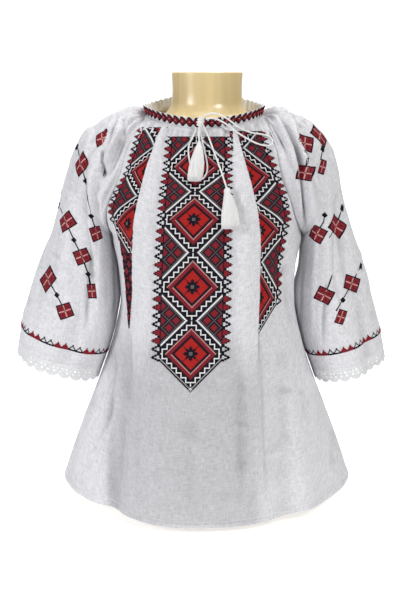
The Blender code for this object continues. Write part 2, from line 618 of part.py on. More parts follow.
def cord_points(route):
    """Points at even steps along the smooth curve (a cubic B-spline) that starts and ends at a route's ends."""
    route = np.array(route)
    pulls = np.vstack([2 * route[0] - route[1], route, 2 * route[-1] - route[-2]])
    at = np.linspace(0, len(route) - 1, 40 * len(route))
    start = np.minimum(at.astype(int), len(route) - 2)
    t = (at - start)[:, None]
    weights = ((1 - t) ** 3, 3 * t ** 3 - 6 * t ** 2 + 4, 3 * (t + t ** 2 - t ** 3) + 1, t ** 3)
    curve = sum(weight * pulls[start + i] for i, weight in enumerate(weights)) / 6
    run = np.concatenate([[0], np.cumsum(np.linalg.norm(np.diff(curve, axis=0), axis=1))])
    even = np.linspace(0, run[-1], max(2, round(run[-1] / CORD_SPACING)) + 1)
    return np.stack([np.interp(even, run, curve[:, axis]) for axis in range(3)], axis=1)


def make_cord(name, route):
    points = cord_points(route)
    curve = bpy.data.curves.new(name, "CURVE")
    curve.dimensions = "3D"
    curve.bevel_depth = CORD / 2
    curve.bevel_resolution = 2
    curve.use_fill_caps = True
    line = curve.splines.new("POLY")
    line.points.add(len(points) - 1)
    line.points.foreach_set("co", np.hstack([points, np.ones((len(points), 1))]).ravel())
    curve.materials.append(material("white_cord"))
    bpy.context.scene.collection.objects.link(bpy.data.objects.new(name, curve))


def ball_mesh(name, centre, half_size, grid, ridge=0.0, turns=0, lean=0.0):
    """A closed ball, or a leaning one with ridges that wind round it like the wraps of a knot."""
    segments, rings = grid
    around = np.linspace(0, 2 * math.pi, segments, endpoint=False)[None, :]
    down = np.linspace(0, math.pi, rings + 1)[1:-1, None]
    radius = 1 + ridge * np.sin(down) * np.sin(2 * around + 2 * turns * down)
    shell = stack(
        radius * np.sin(down) * np.cos(around),
        radius * np.sin(down) * np.sin(around),
        radius * np.cos(down),
    ).reshape(-1, 3)
    points = np.vstack([shell, [[0, 0, 1], [0, 0, -1]]]) * half_size
    points[:, 0] += lean * points[:, 2]
    points += np.array(centre)
    index = np.arange(len(shell)).reshape(rings - 1, segments)
    index = np.hstack([index, index[:, :1]])
    faces = np.stack([index[:-1, :-1], index[1:, :-1], index[1:, 1:], index[:-1, 1:]], axis=-1)
    top, bottom = len(shell), len(shell) + 1
    caps = [(top, a, b) for a, b in zip(index[0, :-1].tolist(), index[0, 1:].tolist())]
    caps += [(bottom, b, a) for a, b in zip(index[-1, :-1].tolist(), index[-1, 1:].tolist())]
    mesh = bpy.data.meshes.new(name)
    mesh.from_pydata(points.tolist(), [], faces.reshape(-1, 4).tolist() + caps)
    return mesh


def strand_mesh(name, shape):
    """The skirt's strands: three-sided and apart, from roots inside the head out to the skirt's middle and foot."""
    places = {key: np.array(value) for key, value in shape.items()}
    ring = STRAND_SPREAD * shape["head_radius"]
    turn = np.linspace(0, 2 * math.pi, STRAND_CORNERS, endpoint=False)
    corners = stack(np.cos(turn), np.sin(turn), 0)
    points, faces = [], []
    for i in range(TASSEL_STRANDS):
        reach = math.sqrt((i + 0.5) / TASSEL_STRANDS)
        cosine, sine = math.cos(i * GOLDEN_ANGLE) * reach, math.sin(i * GOLDEN_ANGLE) * reach
        root = places["head"] + ring * np.array([cosine, sine, 0]) - (0, 0, shape["head_radius"] * ROOT_DROP)
        line = [root]
        for level in ("middle", "foot"):
            spread = cosine * places[level + "_half"] + sine * np.array(TASSEL_DEPTH)
            line.append(places[level] + spread)
        start = len(points)
        for place, radius in zip(line, (STRAND_ROOT, STRAND_FOOT, STRAND_FOOT)):
            points.extend(place + radius * corners)
        rings = np.arange(start, len(points)).reshape(len(line), STRAND_CORNERS)
        for upper, lower in zip(rings[:-1], rings[1:]):
            faces += np.stack([upper, np.roll(upper, -1), np.roll(lower, -1), lower], axis=-1).tolist()
        faces += [rings[0][::-1].tolist(), rings[-1].tolist()]
    mesh = bpy.data.meshes.new(name)
    mesh.from_pydata([tuple(point) for point in points], [], faces)
    return mesh


def make_tassel(name, shape):
    """A tassel: its head with the strands' roots fused into it."""
    ball = ball_mesh(name, shape["head"], np.full(3, shape["head_radius"]), HEAD_GRID)
    tied = add_solid(name, ball, "white_cord")
    skirt = add_solid(name + "_strands", strand_mesh(name + "_strands", shape), "white_cord")
    skirt.hide_render = True
    skirt.display_type = "WIRE"
    join = tied.modifiers.new("strands", "BOOLEAN")
    join.operation = "UNION"
    join.object = skirt


def make_knot():
    mesh = ball_mesh("knot", KNOT_CENTRE, KNOT_HALF_SIZE, KNOT_GRID, KNOT_RIDGE, KNOT_TURNS, KNOT_LEAN)
    add_solid("knot", mesh, "white_cord")


def main():
    for old in list(bpy.data.objects):
        bpy.data.objects.remove(old)
    for name, (points, normals) in cloth_grids().items():
        add_solid(name, wall_mesh(name, points, normals, CLOTH), "white_cotton")
    make_frill()
    for side in SLEEVES:
        make_lace(side)
    make_knot()
    for name, route in CORD_ROUTES.items():
        make_cord(name, route)
    for name, shape in TASSELS.items():
        make_tassel(name, shape)
    make_form()


main()
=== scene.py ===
import math

import bpy
import numpy as np
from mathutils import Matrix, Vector


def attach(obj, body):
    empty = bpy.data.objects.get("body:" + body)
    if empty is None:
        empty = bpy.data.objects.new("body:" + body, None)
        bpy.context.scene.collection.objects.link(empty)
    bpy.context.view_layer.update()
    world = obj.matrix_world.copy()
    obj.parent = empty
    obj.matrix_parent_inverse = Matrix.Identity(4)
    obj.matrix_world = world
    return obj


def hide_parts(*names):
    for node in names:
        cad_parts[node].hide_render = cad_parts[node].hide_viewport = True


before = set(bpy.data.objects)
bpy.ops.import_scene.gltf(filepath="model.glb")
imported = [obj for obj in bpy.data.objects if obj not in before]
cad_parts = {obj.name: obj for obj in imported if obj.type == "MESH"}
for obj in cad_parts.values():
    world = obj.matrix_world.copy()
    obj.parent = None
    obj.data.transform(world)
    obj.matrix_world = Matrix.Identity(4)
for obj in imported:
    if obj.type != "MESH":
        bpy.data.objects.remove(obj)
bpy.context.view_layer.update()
print("frame loaded:", len(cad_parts), "solids")


# camera: set up from the neck of the form and the hem
cameraPlan = {
    "place": (-0.011, -1.60, 0.74),
    "tilt": math.radians(13.607),      # looks down by this
    "focal": 944.0,                    # in pixels
    "imageWidth": 401.0,
    "imageHeight": 601.0,
    "sensor": 24.0,
}


def makeCamera(plan):
    data = bpy.data.cameras.new("camera")
    data.sensor_fit = "VERTICAL"
    data.sensor_height = plan["sensor"]
    data.lens = plan["focal"] / plan["imageHeight"] * plan["sensor"]
    camera = bpy.data.objects.new("camera", data)
    camera.location = plan["place"]
    camera.rotation_euler = (math.pi / 2 - plan["tilt"], 0, 0)
    bpy.context.scene.collection.objects.link(camera)
    bpy.context.scene.camera = camera


makeCamera(cameraPlan)


# small helpers on whole arrays

def stack(x, y, z):
    return np.stack(np.broadcast_arrays(x, y, z), axis=-1).astype(float)


def unit(vectors):
    return vectors / np.maximum(np.linalg.norm(vectors, axis=-1, keepdims=True), 1e-12)


def smooth(value):
    value = np.clip(value, 0, 1)
    return value * value * (3 - 2 * value)


def runAlong(path):
    # metres from the start of a path to each of its points
    return np.concatenate([[0], np.cumsum(np.linalg.norm(np.diff(path, axis=0), axis=1))])


def quadCorners(values):
    # the values at the four corners of every quad of a grid, in turn round it
    return np.stack([values[:-1, :-1], values[:-1, 1:], values[1:, 1:], values[1:, :-1]], axis=2)


def quadMiddles(values):
    return (values[:-1, :-1] + values[1:, 1:] + values[:-1, 1:] + values[1:, :-1]) / 4


def splineRead(values, at):
    # a cubic between each two values, its slope at a value the harmonic mean of the steps beside it
    values = np.asarray(values, float)
    steps = np.diff(values)
    turns = steps[:-1] * steps[1:]
    sums = np.where(turns > 0, steps[:-1] + steps[1:], 1)
    slopes = np.concatenate([steps[:1], np.where(turns > 0, 2 * turns / sums, 0), steps[-1:]])
    at = np.clip(np.asarray(at, float), 0, len(values) - 1)
    start = np.minimum(at.astype(int), len(values) - 2)
    t = at - start
    low, high = values[start], values[start + 1]
    return (low + slopes[start] * t * (1 - t) ** 2 - slopes[start + 1] * t ** 2 * (1 - t)
            + (high - low) * t ** 2 * (3 - 2 * t))


def inView(points):
    # where the camera sees each point: across and down in the image, and how far away
    offset = np.asarray(points, float) - np.array(cameraPlan["place"])
    tilt = cameraPlan["tilt"]
    depth = offset[..., 1] * math.cos(tilt) - offset[..., 2] * math.sin(tilt)
    up = offset[..., 2] * math.cos(tilt) + offset[..., 1] * math.sin(tilt)
    return stack(cameraPlan["imageWidth"] / 2 + cameraPlan["focal"] * offset[..., 0] / depth,
                 cameraPlan["imageHeight"] / 2 - cameraPlan["focal"] * up / depth, depth)


def gridNormals(points, outward, wrap=False):
    # the cross product of the two directions of the grid, turned to the given side
    if wrap:
        points = np.concatenate([points[:, -1:], points, points[:, :1]], axis=1)
    normals = unit(np.cross(np.gradient(points, axis=0), np.gradient(points, axis=1)))
    if wrap:
        points, normals = points[:, 1:-1], normals[:, 1:-1]
    if callable(outward):
        side = (normals * outward(points)).sum()
    else:
        side = normals[normals.shape[0] // 2, normals.shape[1] // 2] @ np.asarray(outward, float)
    return normals if side > 0 else -normals


def fillMesh(name, points, faces, faceSize, uv=None, codes=None):
    # vertices, faces of one size, one uv pair a corner and one material number a face, all at once
    mesh = bpy.data.meshes.new(name)
    mesh.vertices.add(len(points))
    mesh.vertices.foreach_set("co", np.ascontiguousarray(points, np.float32).ravel())
    faces = np.ascontiguousarray(faces, np.int32).reshape(-1, faceSize)
    mesh.loops.add(faces.size)
    mesh.loops.foreach_set("vertex_index", faces.ravel())
    mesh.polygons.add(len(faces))
    mesh.polygons.foreach_set("loop_start", np.arange(0, faces.size, faceSize, dtype=np.int32))
    if codes is not None:
        mesh.polygons.foreach_set("material_index", np.ascontiguousarray(codes, np.int32))
    if uv is not None:
        layer = mesh.uv_layers.new(name="cloth")
        layer.data.foreach_set("uv", np.ascontiguousarray(uv, np.float32).ravel())
    mesh.update(calc_edges=True)
    mesh.validate()
    mesh.shade_smooth()
    return mesh


def gridFaces(rows, columns, wrap, flip):
    index = np.arange(rows * columns).reshape(rows, columns)
    if wrap:
        index = np.hstack([index, index[:, :1]])
    faces = quadCorners(index)
    return faces[..., ::-1] if flip else faces


def gridMesh(name, points, normals, uv=None, keep=None, wrap=False):
    # quads over a grid of points, facing along the normals; keep leaves out the quads that are false in it
    rows, columns = points.shape[:2]
    flip = float((np.cross(points[1:, :-1] - points[:-1, :-1], points[:-1, 1:] - points[:-1, :-1])
                  * normals[:-1, :-1]).sum()) > 0
    faces = gridFaces(rows, columns, wrap, flip)
    corners = None
    if uv is not None:
        if wrap:                                # the column past the seam carries on at the last step
            uv = np.concatenate([uv, uv[:, :1]], axis=1)
            uv[:, -1, 0] = 2 * uv[:, -2, 0] - uv[:, -3, 0]
        corners = quadCorners(uv)
        corners = corners[:, :, ::-1] if flip else corners
    if keep is not None:
        faces, corners = faces[keep], corners[keep]
    return fillMesh(name, points.reshape(-1, 3), faces, 4, corners)


def clothUv(points):
    # metres along the cloth: across from the middle column, and down each column
    across = np.linalg.norm(np.diff(points, axis=1), axis=2)
    across = np.concatenate([np.zeros((len(points), 1)), np.cumsum(across, axis=1)], axis=1)
    across -= across[:, across.shape[1] // 2][:, None]
    down = np.linalg.norm(np.diff(points, axis=0), axis=2)
    down = np.concatenate([np.zeros((1, points.shape[1])), np.cumsum(down, axis=0)], axis=0)
    return np.stack([across, down], axis=-1)


def addPiece(name, mesh, *materials):
    for one in materials:
        mesh.materials.append(one)
    piece = bpy.data.objects.new(name, mesh)
    bpy.context.scene.collection.objects.link(piece)
    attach(piece, "root")
    return piece


def thicken(piece, thickness):
    wall = piece.modifiers.new("wall", "SOLIDIFY")
    wall.thickness = thickness
    wall.offset = 0
    wall.use_even_offset = False
    return piece


# materials: hand-woven cloth, cross stitch and cord

def newGroup(name, inputs, outputs):
    group = bpy.data.node_groups.new(name, "ShaderNodeTree")
    for label, kind, value in inputs:
        socket = group.interface.new_socket(name=label, in_out="INPUT", socket_type=kind)
        if value is not None:
            socket.default_value = value
    for label, kind in outputs:
        group.interface.new_socket(name=label, in_out="OUTPUT", socket_type=kind)
    return group, group.nodes.new("NodeGroupInput"), group.nodes.new("NodeGroupOutput")


def mathNode(tree, kind, first, second=None, third=None):
    node = tree.nodes.new("ShaderNodeMath")
    node.operation = kind
    for place, value in enumerate((first, second, third)):
        if value is None:
            continue
        if isinstance(value, bpy.types.NodeSocket):
            tree.links.new(value, node.inputs[place])
        else:
            node.inputs[place].default_value = value
    return node.outputs[0]


def swung(tree, shade, noise, amount):
    # a shade that goes up and down with a noise
    return mathNode(tree, "MULTIPLY_ADD", mathNode(tree, "SUBTRACT", noise, 0.5), amount, shade)


def scaledNoise(tree, vector, scale, detail=2.0, rough=0.5, turn=0.0):
    mapping = tree.nodes.new("ShaderNodeMapping")
    mapping.inputs["Scale"].default_value = scale
    mapping.inputs["Rotation"].default_value = (0, 0, turn)
    tree.links.new(vector, mapping.inputs["Vector"])
    noise = tree.nodes.new("ShaderNodeTexNoise")
    noise.inputs["Scale"].default_value = 1.0
    noise.inputs["Detail"].default_value = detail
    noise.inputs["Roughness"].default_value = rough
    tree.links.new(mapping.outputs[0], noise.inputs["Vector"])
    return noise.outputs[0]


weavePlan = {
    # noise: how fine across and down the cloth, detail, roughness and turn
    "slubDown": ((720, 62, 1), 2.0, 0.6), "slubAcross": ((70, 640, 1), 2.0, 0.6),
    "crinkle": ((150, 175, 1), 3.0, 0.55, 0.4), "blotch": ((34, 28, 1), 2.0, 0.5, 0.2),
    "threads": 1250, "wander": 1.2,             # threads a metre, and how unevenly they run
    "shade": {"slub": 0.50, "weave": 0.04, "crinkle": 0.36, "blotch": 0.05},
    "height": {"slub": 0.42, "weave": 0.16, "crinkle": 2.4},
}


def makeWeaveGroup(plan):
    # slubs are long noise along both threads, the weave is two crossed waves, the crinkle a rounder noise
    group, given, out = newGroup(
        "handWeave",
        [("Vector", "NodeSocketVector", None), ("Slub", "NodeSocketFloat", 1.0),
         ("Weave", "NodeSocketFloat", 1.0), ("Crinkle", "NodeSocketFloat", 1.0)],
        [("Shade", "NodeSocketFloat"), ("Height", "NodeSocketFloat")])
    vector = given.outputs["Vector"]
    down, across, crinkle, blotch = (scaledNoise(group, vector, *plan[key])
                                     for key in ("slubDown", "slubAcross", "crinkle", "blotch"))
    waves = []
    for direction in ("X", "Y"):
        wave = group.nodes.new("ShaderNodeTexWave")
        wave.bands_direction = direction
        wave.inputs["Scale"].default_value = plan["threads"] / (2 * math.pi) * 2
        wave.inputs["Distortion"].default_value = plan["wander"]
        wave.inputs["Detail"].default_value = 1.0
        group.links.new(vector, wave.inputs["Vector"])
        waves.append(wave.outputs["Fac"])
    slub = [mathNode(group, "SUBTRACT", one, 0.5) for one in (down, across)]
    slub = mathNode(group, "MULTIPLY", mathNode(group, "ADD", *slub), given.outputs["Slub"])
    weave = mathNode(group, "SUBTRACT", mathNode(group, "MULTIPLY", *waves), 0.25)
    weave = mathNode(group, "MULTIPLY", weave, given.outputs["Weave"])
    soft = mathNode(group, "MULTIPLY", mathNode(group, "SUBTRACT", crinkle, 0.5), given.outputs["Crinkle"])
    shades, heights = plan["shade"], plan["height"]
    shade = mathNode(group, "MULTIPLY_ADD", slub, shades["slub"], 1.0)
    shade = mathNode(group, "MULTIPLY_ADD", weave, shades["weave"], shade)
    shade = mathNode(group, "MULTIPLY_ADD", soft, shades["crinkle"], shade)
    group.links.new(swung(group, shade, blotch, shades["blotch"]), out.inputs["Shade"])
    height = mathNode(group, "MULTIPLY", slub, heights["slub"])
    height = mathNode(group, "MULTIPLY_ADD", weave, heights["weave"], height)
    height = mathNode(group, "MULTIPLY_ADD", soft, heights["crinkle"], height)
    group.links.new(height, out.inputs["Height"])
    return group


crossPlan = {"plies": 3.0, "plyShade": 0.06, "plyHeight": 0.25, "toneSize": (0.9, 0.9, 1)}


def makeStitchGroup(plan):
    # a cross stitch seen close: thread plies over the diagonal of each cell, and a tone that varies by stitch
    group, given, out = newGroup(
        "crossStitch",
        [("Vector", "NodeSocketVector", None), ("Variation", "NodeSocketFloat", 0.2)],
        [("Shade", "NodeSocketFloat"), ("Height", "NodeSocketFloat")])
    vector = given.outputs["Vector"]
    split = group.nodes.new("ShaderNodeSeparateXYZ")
    group.links.new(vector, split.inputs[0])
    u, v = split.outputs[0], split.outputs[1]
    along = mathNode(group, "ADD", u, v)
    ply = mathNode(group, "SINE", mathNode(group, "MULTIPLY", along, 2 * math.pi * plan["plies"]))
    slant = mathNode(group, "FRACT", mathNode(group, "SUBTRACT", u, v))
    groove = mathNode(group, "ABSOLUTE", mathNode(group, "SUBTRACT", slant, 0.5))
    tone = scaledNoise(group, vector, plan["toneSize"], 1.0)
    shade = mathNode(group, "MULTIPLY", mathNode(group, "SUBTRACT", tone, 0.5), given.outputs["Variation"])
    shade = mathNode(group, "MULTIPLY_ADD", ply, plan["plyShade"], mathNode(group, "ADD", shade, 1.0))
    group.links.new(shade, out.inputs["Shade"])
    group.links.new(mathNode(group, "MULTIPLY_ADD", ply, plan["plyHeight"], groove), out.inputs["Height"])
    return group


def newMaterial(name):
    made = bpy.data.materials.new(name)
    made.use_nodes = True
    return made, made.node_tree, made.node_tree.nodes["Principled BSDF"]


def clothPlace(tree):
    # the piece's own uv, in metres along the cloth
    where = tree.nodes.new("ShaderNodeUVMap")
    where.uv_map = "cloth"
    return where.outputs[0]


surfaceInputs = {"rough": "Roughness", "specular": "Specular IOR Level", "sheen": "Sheen Weight",
                 "coat": "Coat Weight", "coatRough": "Coat Roughness"}


def dress(tree, shader, plan, shade, height=None):
    # the plan's colour times the shade, its shine, and a bump from the height
    mix = tree.nodes.new("ShaderNodeVectorMath")
    mix.operation = "SCALE"
    mix.inputs[0].default_value = plan["colour"]
    tree.links.new(shade, mix.inputs["Scale"])
    tree.links.new(mix.outputs[0], shader.inputs["Base Color"])
    for key, label in surfaceInputs.items():
        if key in plan:
            shader.inputs[label].default_value = plan[key]
    if height is not None:
        bump = tree.nodes.new("ShaderNodeBump")
        bump.inputs["Strength"].default_value = plan["bump"]
        bump.inputs["Distance"].default_value = plan["depth"]
        tree.links.new(height, bump.inputs["Height"])
        tree.links.new(bump.outputs[0], shader.inputs["Normal"])


def groupMaterial(name, group, plan):
    # one of the two shared groups on the piece's own uv
    made, tree, shader = newMaterial(name)
    node = tree.nodes.new("ShaderNodeGroup")
    node.node_tree = group
    tree.links.new(clothPlace(tree), node.inputs["Vector"])
    for label, value in plan["group"].items():
        node.inputs[label].default_value = value
    shade = node.outputs["Shade"]
    if plan.get("layers"):                      # painted light and shade: the layers attribute lightens the pleats and darkens the skirt's middle and the creases' hollows
        layers = tree.nodes.new("ShaderNodeAttribute")
        layers.attribute_name = "layers"
        shade = mathNode(tree, "MULTIPLY", shade, layers.outputs["Fac"])
    dress(tree, shader, plan, shade, node.outputs["Height"])
    return made


weaveGroup, stitchGroup = makeWeaveGroup(weavePlan), makeStitchGroup(crossPlan)
clothPlans = {
    # the cotton's colour is multiplied by the layers attribute, which holds painted light and shade
    "cotton": {"colour": (0.80, 0.795, 0.825), "bump": 0.8, "depth": 0.0005, "rough": 0.9, "specular": 0.15,
               "sheen": 0.05, "layers": True, "group": {"Slub": 1.0, "Weave": 1.0, "Crinkle": 1.0}},
    "frillCotton": {"colour": (0.80, 0.80, 0.82), "bump": 0.5, "depth": 0.0004, "rough": 0.85, "specular": 0.2,
                    "sheen": 0.12, "group": {"Slub": 0.8, "Weave": 1.0, "Crinkle": 0.5}},
    "lace": {"colour": (0.82, 0.825, 0.84), "bump": 0.8, "depth": 0.0004, "rough": 0.8, "specular": 0.25,
             "sheen": 0.10, "group": {"Slub": 0.5, "Weave": 2.0, "Crinkle": 0.4}},
}
threadPlans = {
    "blackThread": {"colour": (0.010, 0.009, 0.016), "rough": 0.72, "group": {"Variation": 0.8}},
    "crimsonThread": {"colour": (0.25, 0.020, 0.030), "rough": 0.62, "group": {"Variation": 0.5}},
    "redThread": {"colour": (0.45, 0.020, 0.017), "rough": 0.58, "group": {"Variation": 0.35}},
    "paleThread": {"colour": (0.86, 0.85, 0.85), "rough": 0.65, "group": {"Variation": 0.15}},
    "greyThread": {"colour": (0.13, 0.115, 0.125), "rough": 0.65, "group": {"Variation": 0.4}},
    "roseThread": {"colour": (0.66, 0.36, 0.34), "rough": 0.6, "group": {"Variation": 0.3}},
}
allThreads = {"bump": 0.5, "depth": 0.0003, "specular": 0.10}
cotton = groupMaterial("cotton", weaveGroup, clothPlans["cotton"])
frillCotton = groupMaterial("frillCotton", weaveGroup, clothPlans["frillCotton"])
laceThread = groupMaterial("laceThread", weaveGroup, clothPlans["lace"])
threads = [groupMaterial(name, stitchGroup, {**allThreads, **plan}) for name, plan in threadPlans.items()]
black, crimson, red, pale, grey, rose = range(1, len(threads) + 1)      # their numbers in a chart; 0 is bare
print("materials ready")


# drawstring: two loops and two ends of a twisted cord, out of the knot at the front
cordPlan = {
    "diameter": 0.0028,
    "step": 0.0007,          # along the cord
    "sides": 12,
    "lobes": 3,              # plies that show as ridges
    "lobeHeight": 0.09,      # share of the radius
    "twist": 0.0090,         # metres for one turn of the plies
    "colour": (0.92, 0.915, 0.91), "rough": 0.75, "specular": 0.25, "sheen": 0.15, "bump": 0.5, "depth": 0.0003,
    "fibre": ((2600, 700, 1), 2.0, 0.6, 0.5), "fibreShade": 0.22,
    "fluff": ((240, 160, 1), 2.0, 0.5), "fluffShade": 0.10,
    "declared": 4,           # every fourth point of the cord
}
cordRoutes = {
    "loopRight": {
        "node": "loop_right", "points": [
            (-0.0178, -0.0990, 0.6555), (-0.0192, -0.0972, 0.6500), (-0.0215, -0.0966, 0.6445),
            (-0.0255, -0.1000, 0.6370), (-0.0290, -0.1022, 0.6300), (-0.0303, -0.1060, 0.6210),
            (-0.0296, -0.1098, 0.6120), (-0.0276, -0.1136, 0.6030), (-0.0252, -0.1173, 0.5930),
            (-0.0212, -0.1207, 0.5838), (-0.0157, -0.1228, 0.5778), (-0.0095, -0.1231, 0.5768),
            (-0.0040, -0.1221, 0.5808), (-0.0008, -0.1198, 0.5882), (0.0000, -0.1165, 0.5972),
            (-0.0022, -0.1122, 0.6092), (-0.0052, -0.1080, 0.6213), (-0.0078, -0.1045, 0.6319),
            (-0.0100, -0.0998, 0.6420), (-0.0112, -0.0962, 0.6490), (-0.0116, -0.0960, 0.6522)]},
    "loopLeft": {
        "node": "loop_left", "points": [
            (-0.0051, -0.0985, 0.6736), (0.0005, -0.0985, 0.6760), (0.0075, -0.0983, 0.6775),
            (0.0160, -0.0975, 0.6768), (0.0240, -0.0960, 0.6735), (0.0320, -0.0940, 0.6685),
            (0.0425, -0.0900, 0.6600), (0.0535, -0.0878, 0.6525), (0.0640, -0.0842, 0.6480),
            (0.0740, -0.0805, 0.6455), (0.0840, -0.0762, 0.6440), (0.0930, -0.0712, 0.6420),
            (0.1010, -0.0690, 0.6390), (0.1062, -0.0705, 0.6330), (0.1030, -0.0755, 0.6268),
            (0.0945, -0.0832, 0.6255), (0.0835, -0.0878, 0.6280), (0.0720, -0.0908, 0.6325),
            (0.0600, -0.0915, 0.6395), (0.0480, -0.0925, 0.6466), (0.0385, -0.0940, 0.6540),
            (0.0290, -0.0955, 0.6610), (0.0190, -0.0985, 0.6670), (0.0100, -0.1010, 0.6700),
            (0.0030, -0.1018, 0.6700), (-0.0030, -0.1014, 0.6688)]},
    "endRight": {
        "node": "end_right", "points": [
            (-0.0125, -0.0994, 0.6600), (-0.0133, -0.1002, 0.6541), (-0.0138, -0.1008, 0.6480),
            (-0.0134, -0.1035, 0.6410), (-0.0130, -0.1055, 0.6368), (-0.0129, -0.1078, 0.6320),
            (-0.0133, -0.1095, 0.6270), (-0.0140, -0.1120, 0.6205)]},
    "endLeft": {
        "node": "end_left", "points": [
            (-0.0085, -0.0996, 0.6620), (-0.0060, -0.0991, 0.6577), (-0.0030, -0.0966, 0.6500),
            (0.0014, -0.0996, 0.6423), (0.0062, -0.1062, 0.6289), (0.0111, -0.1113, 0.6160),
            (0.0153, -0.1147, 0.6055), (0.0195, -0.1186, 0.5943), (0.0238, -0.1236, 0.5823),
            (0.0272, -0.1288, 0.5722), (0.0295, -0.1325, 0.5652), (0.0308, -0.1350, 0.5595),
            (0.0316, -0.1375, 0.5510)]},
}


def curvePoints(route, step):
    # a cubic B-spline pulled by the route's points, read at even steps
    route = np.array(route, float)
    pulls = np.vstack([2 * route[0] - route[1], route, 2 * route[-1] - route[-2]])
    at = np.linspace(0, len(route) - 1, 60 * len(route))
    start = np.minimum(at.astype(int), len(route) - 2)
    t = (at - start)[:, None]
    weights = ((1 - t) ** 3, 3 * t ** 3 - 6 * t ** 2 + 4, 3 * (t + t ** 2 - t ** 3) + 1, t ** 3)
    curve = sum(weight * pulls[start + i] for i, weight in enumerate(weights)) / 6
    run = runAlong(curve)
    even = np.linspace(0, run[-1], max(3, int(round(run[-1] / step)) + 1))
    return np.stack([np.interp(even, run, curve[:, axis]) for axis in range(3)], axis=1), even


def sweepFrames(path):
    # two directions square to the path, carried along it without twist (double reflection, step by step)
    along = unit(np.gradient(path, axis=0))
    side = np.zeros_like(path)
    seed = np.array([0.0, 0.0, 1.0]) if abs(along[0, 2]) < 0.9 else np.array([1.0, 0.0, 0.0])
    side[0] = unit(seed - along[0] * (seed @ along[0]))
    for i in range(1, len(path)):
        turned = side[i - 1] - along[i] * (side[i - 1] @ along[i])
        side[i] = turned / np.linalg.norm(turned)
    return side, np.cross(along, side)


def tubeMesh(name, path, radius, sides, lobes=0, lobeHeight=0.0, twist=1.0, run=None):
    # a ring of the given radius round every point of the path, its lobes winding along, closed at both ends
    side, up = sweepFrames(path)
    run = runAlong(path) if run is None else run
    rows = len(path)
    angle = np.linspace(0, 2 * math.pi, sides, endpoint=False)[None, :]
    wind = 2 * math.pi * run[:, None] / twist
    reach = radius * (1 + lobeHeight * (np.cos(lobes * angle + lobes * wind) - 0.35))
    points = (path[:, None] + (reach * np.cos(angle))[..., None] * side[:, None]
              + (reach * np.sin(angle))[..., None] * up[:, None])
    faces = gridFaces(rows, sides, True, False).reshape(-1, 4)
    uvRow = np.concatenate([angle[0], [2 * math.pi]]) / (2 * math.pi)
    uv = np.stack(np.broadcast_arrays(uvRow * radius * 2 * math.pi, run[:, None]), axis=-1)
    ring = np.arange(sides)
    following, start, tip = np.roll(ring, -1), (rows - 1) * sides, rows * sides
    caps = np.vstack([np.stack([ring, following, np.full(sides, tip)], axis=1),
                      np.stack([start + following, start + ring, np.full(sides, tip + 1)], axis=1)])
    mesh = bpy.data.meshes.new(name)
    mesh.from_pydata(np.vstack([points.reshape(-1, 3), path[0], path[-1]]).tolist(), [],
                     faces.tolist() + caps.tolist())
    layer = mesh.uv_layers.new(name="cloth")
    corners = np.vstack([quadCorners(uv).reshape(-1, 2), np.zeros((caps.size, 2))])
    layer.data.foreach_set("uv", corners.astype(np.float32).ravel())
    mesh.update()
    mesh.shade_smooth()
    outward = points[rows // 2, 0] - path[rows // 2]
    if float(np.dot(mesh.polygons[(rows // 2) * sides].normal, outward)) < 0:
        mesh.flip_normals()
    return mesh


def makeCordMaterial(plan):
    # fine fibres wound round each ply, on the cord's own uv
    made, tree, shader = newMaterial("cordCotton")
    place = clothPlace(tree)
    fibre, fluff = scaledNoise(tree, place, *plan["fibre"]), scaledNoise(tree, place, *plan["fluff"])
    shade = swung(tree, swung(tree, 1.0, fibre, plan["fibreShade"]), fluff, plan["fluffShade"])
    dress(tree, shader, plan, shade, fibre)
    return made


cordCotton = makeCordMaterial(cordPlan)
cordPieces, cordPaths, cordLengths = {}, {}, {}
for cordName, route in cordRoutes.items():
    path, run = curvePoints(route["points"], cordPlan["step"])
    mesh = tubeMesh(cordName, path, cordPlan["diameter"] / 2, cordPlan["sides"], cordPlan["lobes"],
                    cordPlan["lobeHeight"], cordPlan["twist"], run)
    piece = addPiece(cordName, mesh, cordCotton)
    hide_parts(route["node"])
    cordPieces[cordName], cordPaths[cordName], cordLengths[cordName] = piece, path, float(run[-1])
print("drawstring laid:", {name: round(length, 4) for name, length in cordLengths.items()})


# knot: a small core wrapped by a few turns of the same cord
knotPlan = {
    "centre": (-0.0110, -0.0994, 0.6650),
    "halfSize": (0.0050, 0.0040, 0.0084),   # of the wraps' centre line
    "lean": 0.22,
    "turns": 4.0,
    "from": 0.6,                             # where round the knot the wraps start
    "span": (0.16, 0.68),                    # from how far down and over how much of it, in half turns
    "wobble": (0.16, 0.4),                   # how far each wrap tilts, and where
    "wrap": 0.95,                            # how thick the cord is in the knot, as a share
    "core": 0.966,
    "steps": 260, "coreGrid": (18, 24, 0.02),
}


def addBall(name, points, centre, material):
    centre = np.array(centre)
    normals = gridNormals(points, lambda p: p - centre, wrap=True)
    return addPiece(name, gridMesh(name, points, normals, clothUv(points), wrap=True), material)


def ballAngles(rows, columns, margin):
    # how far down from the top and how far round each point of a ball is
    return (np.linspace(margin, math.pi - margin, rows)[:, None],
            np.linspace(0, 2 * math.pi, columns, endpoint=False)[None, :])


def knotPoints(plan, down, around, scale):
    # an oval ball, leaning to one side
    half = np.array(plan["halfSize"]) * scale
    x = half[0] * np.sin(down) * np.cos(around)
    y = half[1] * np.sin(down) * np.sin(around)
    z = half[2] * np.cos(down)
    return stack(x + plan["lean"] * z, y, z) + np.array(plan["centre"])


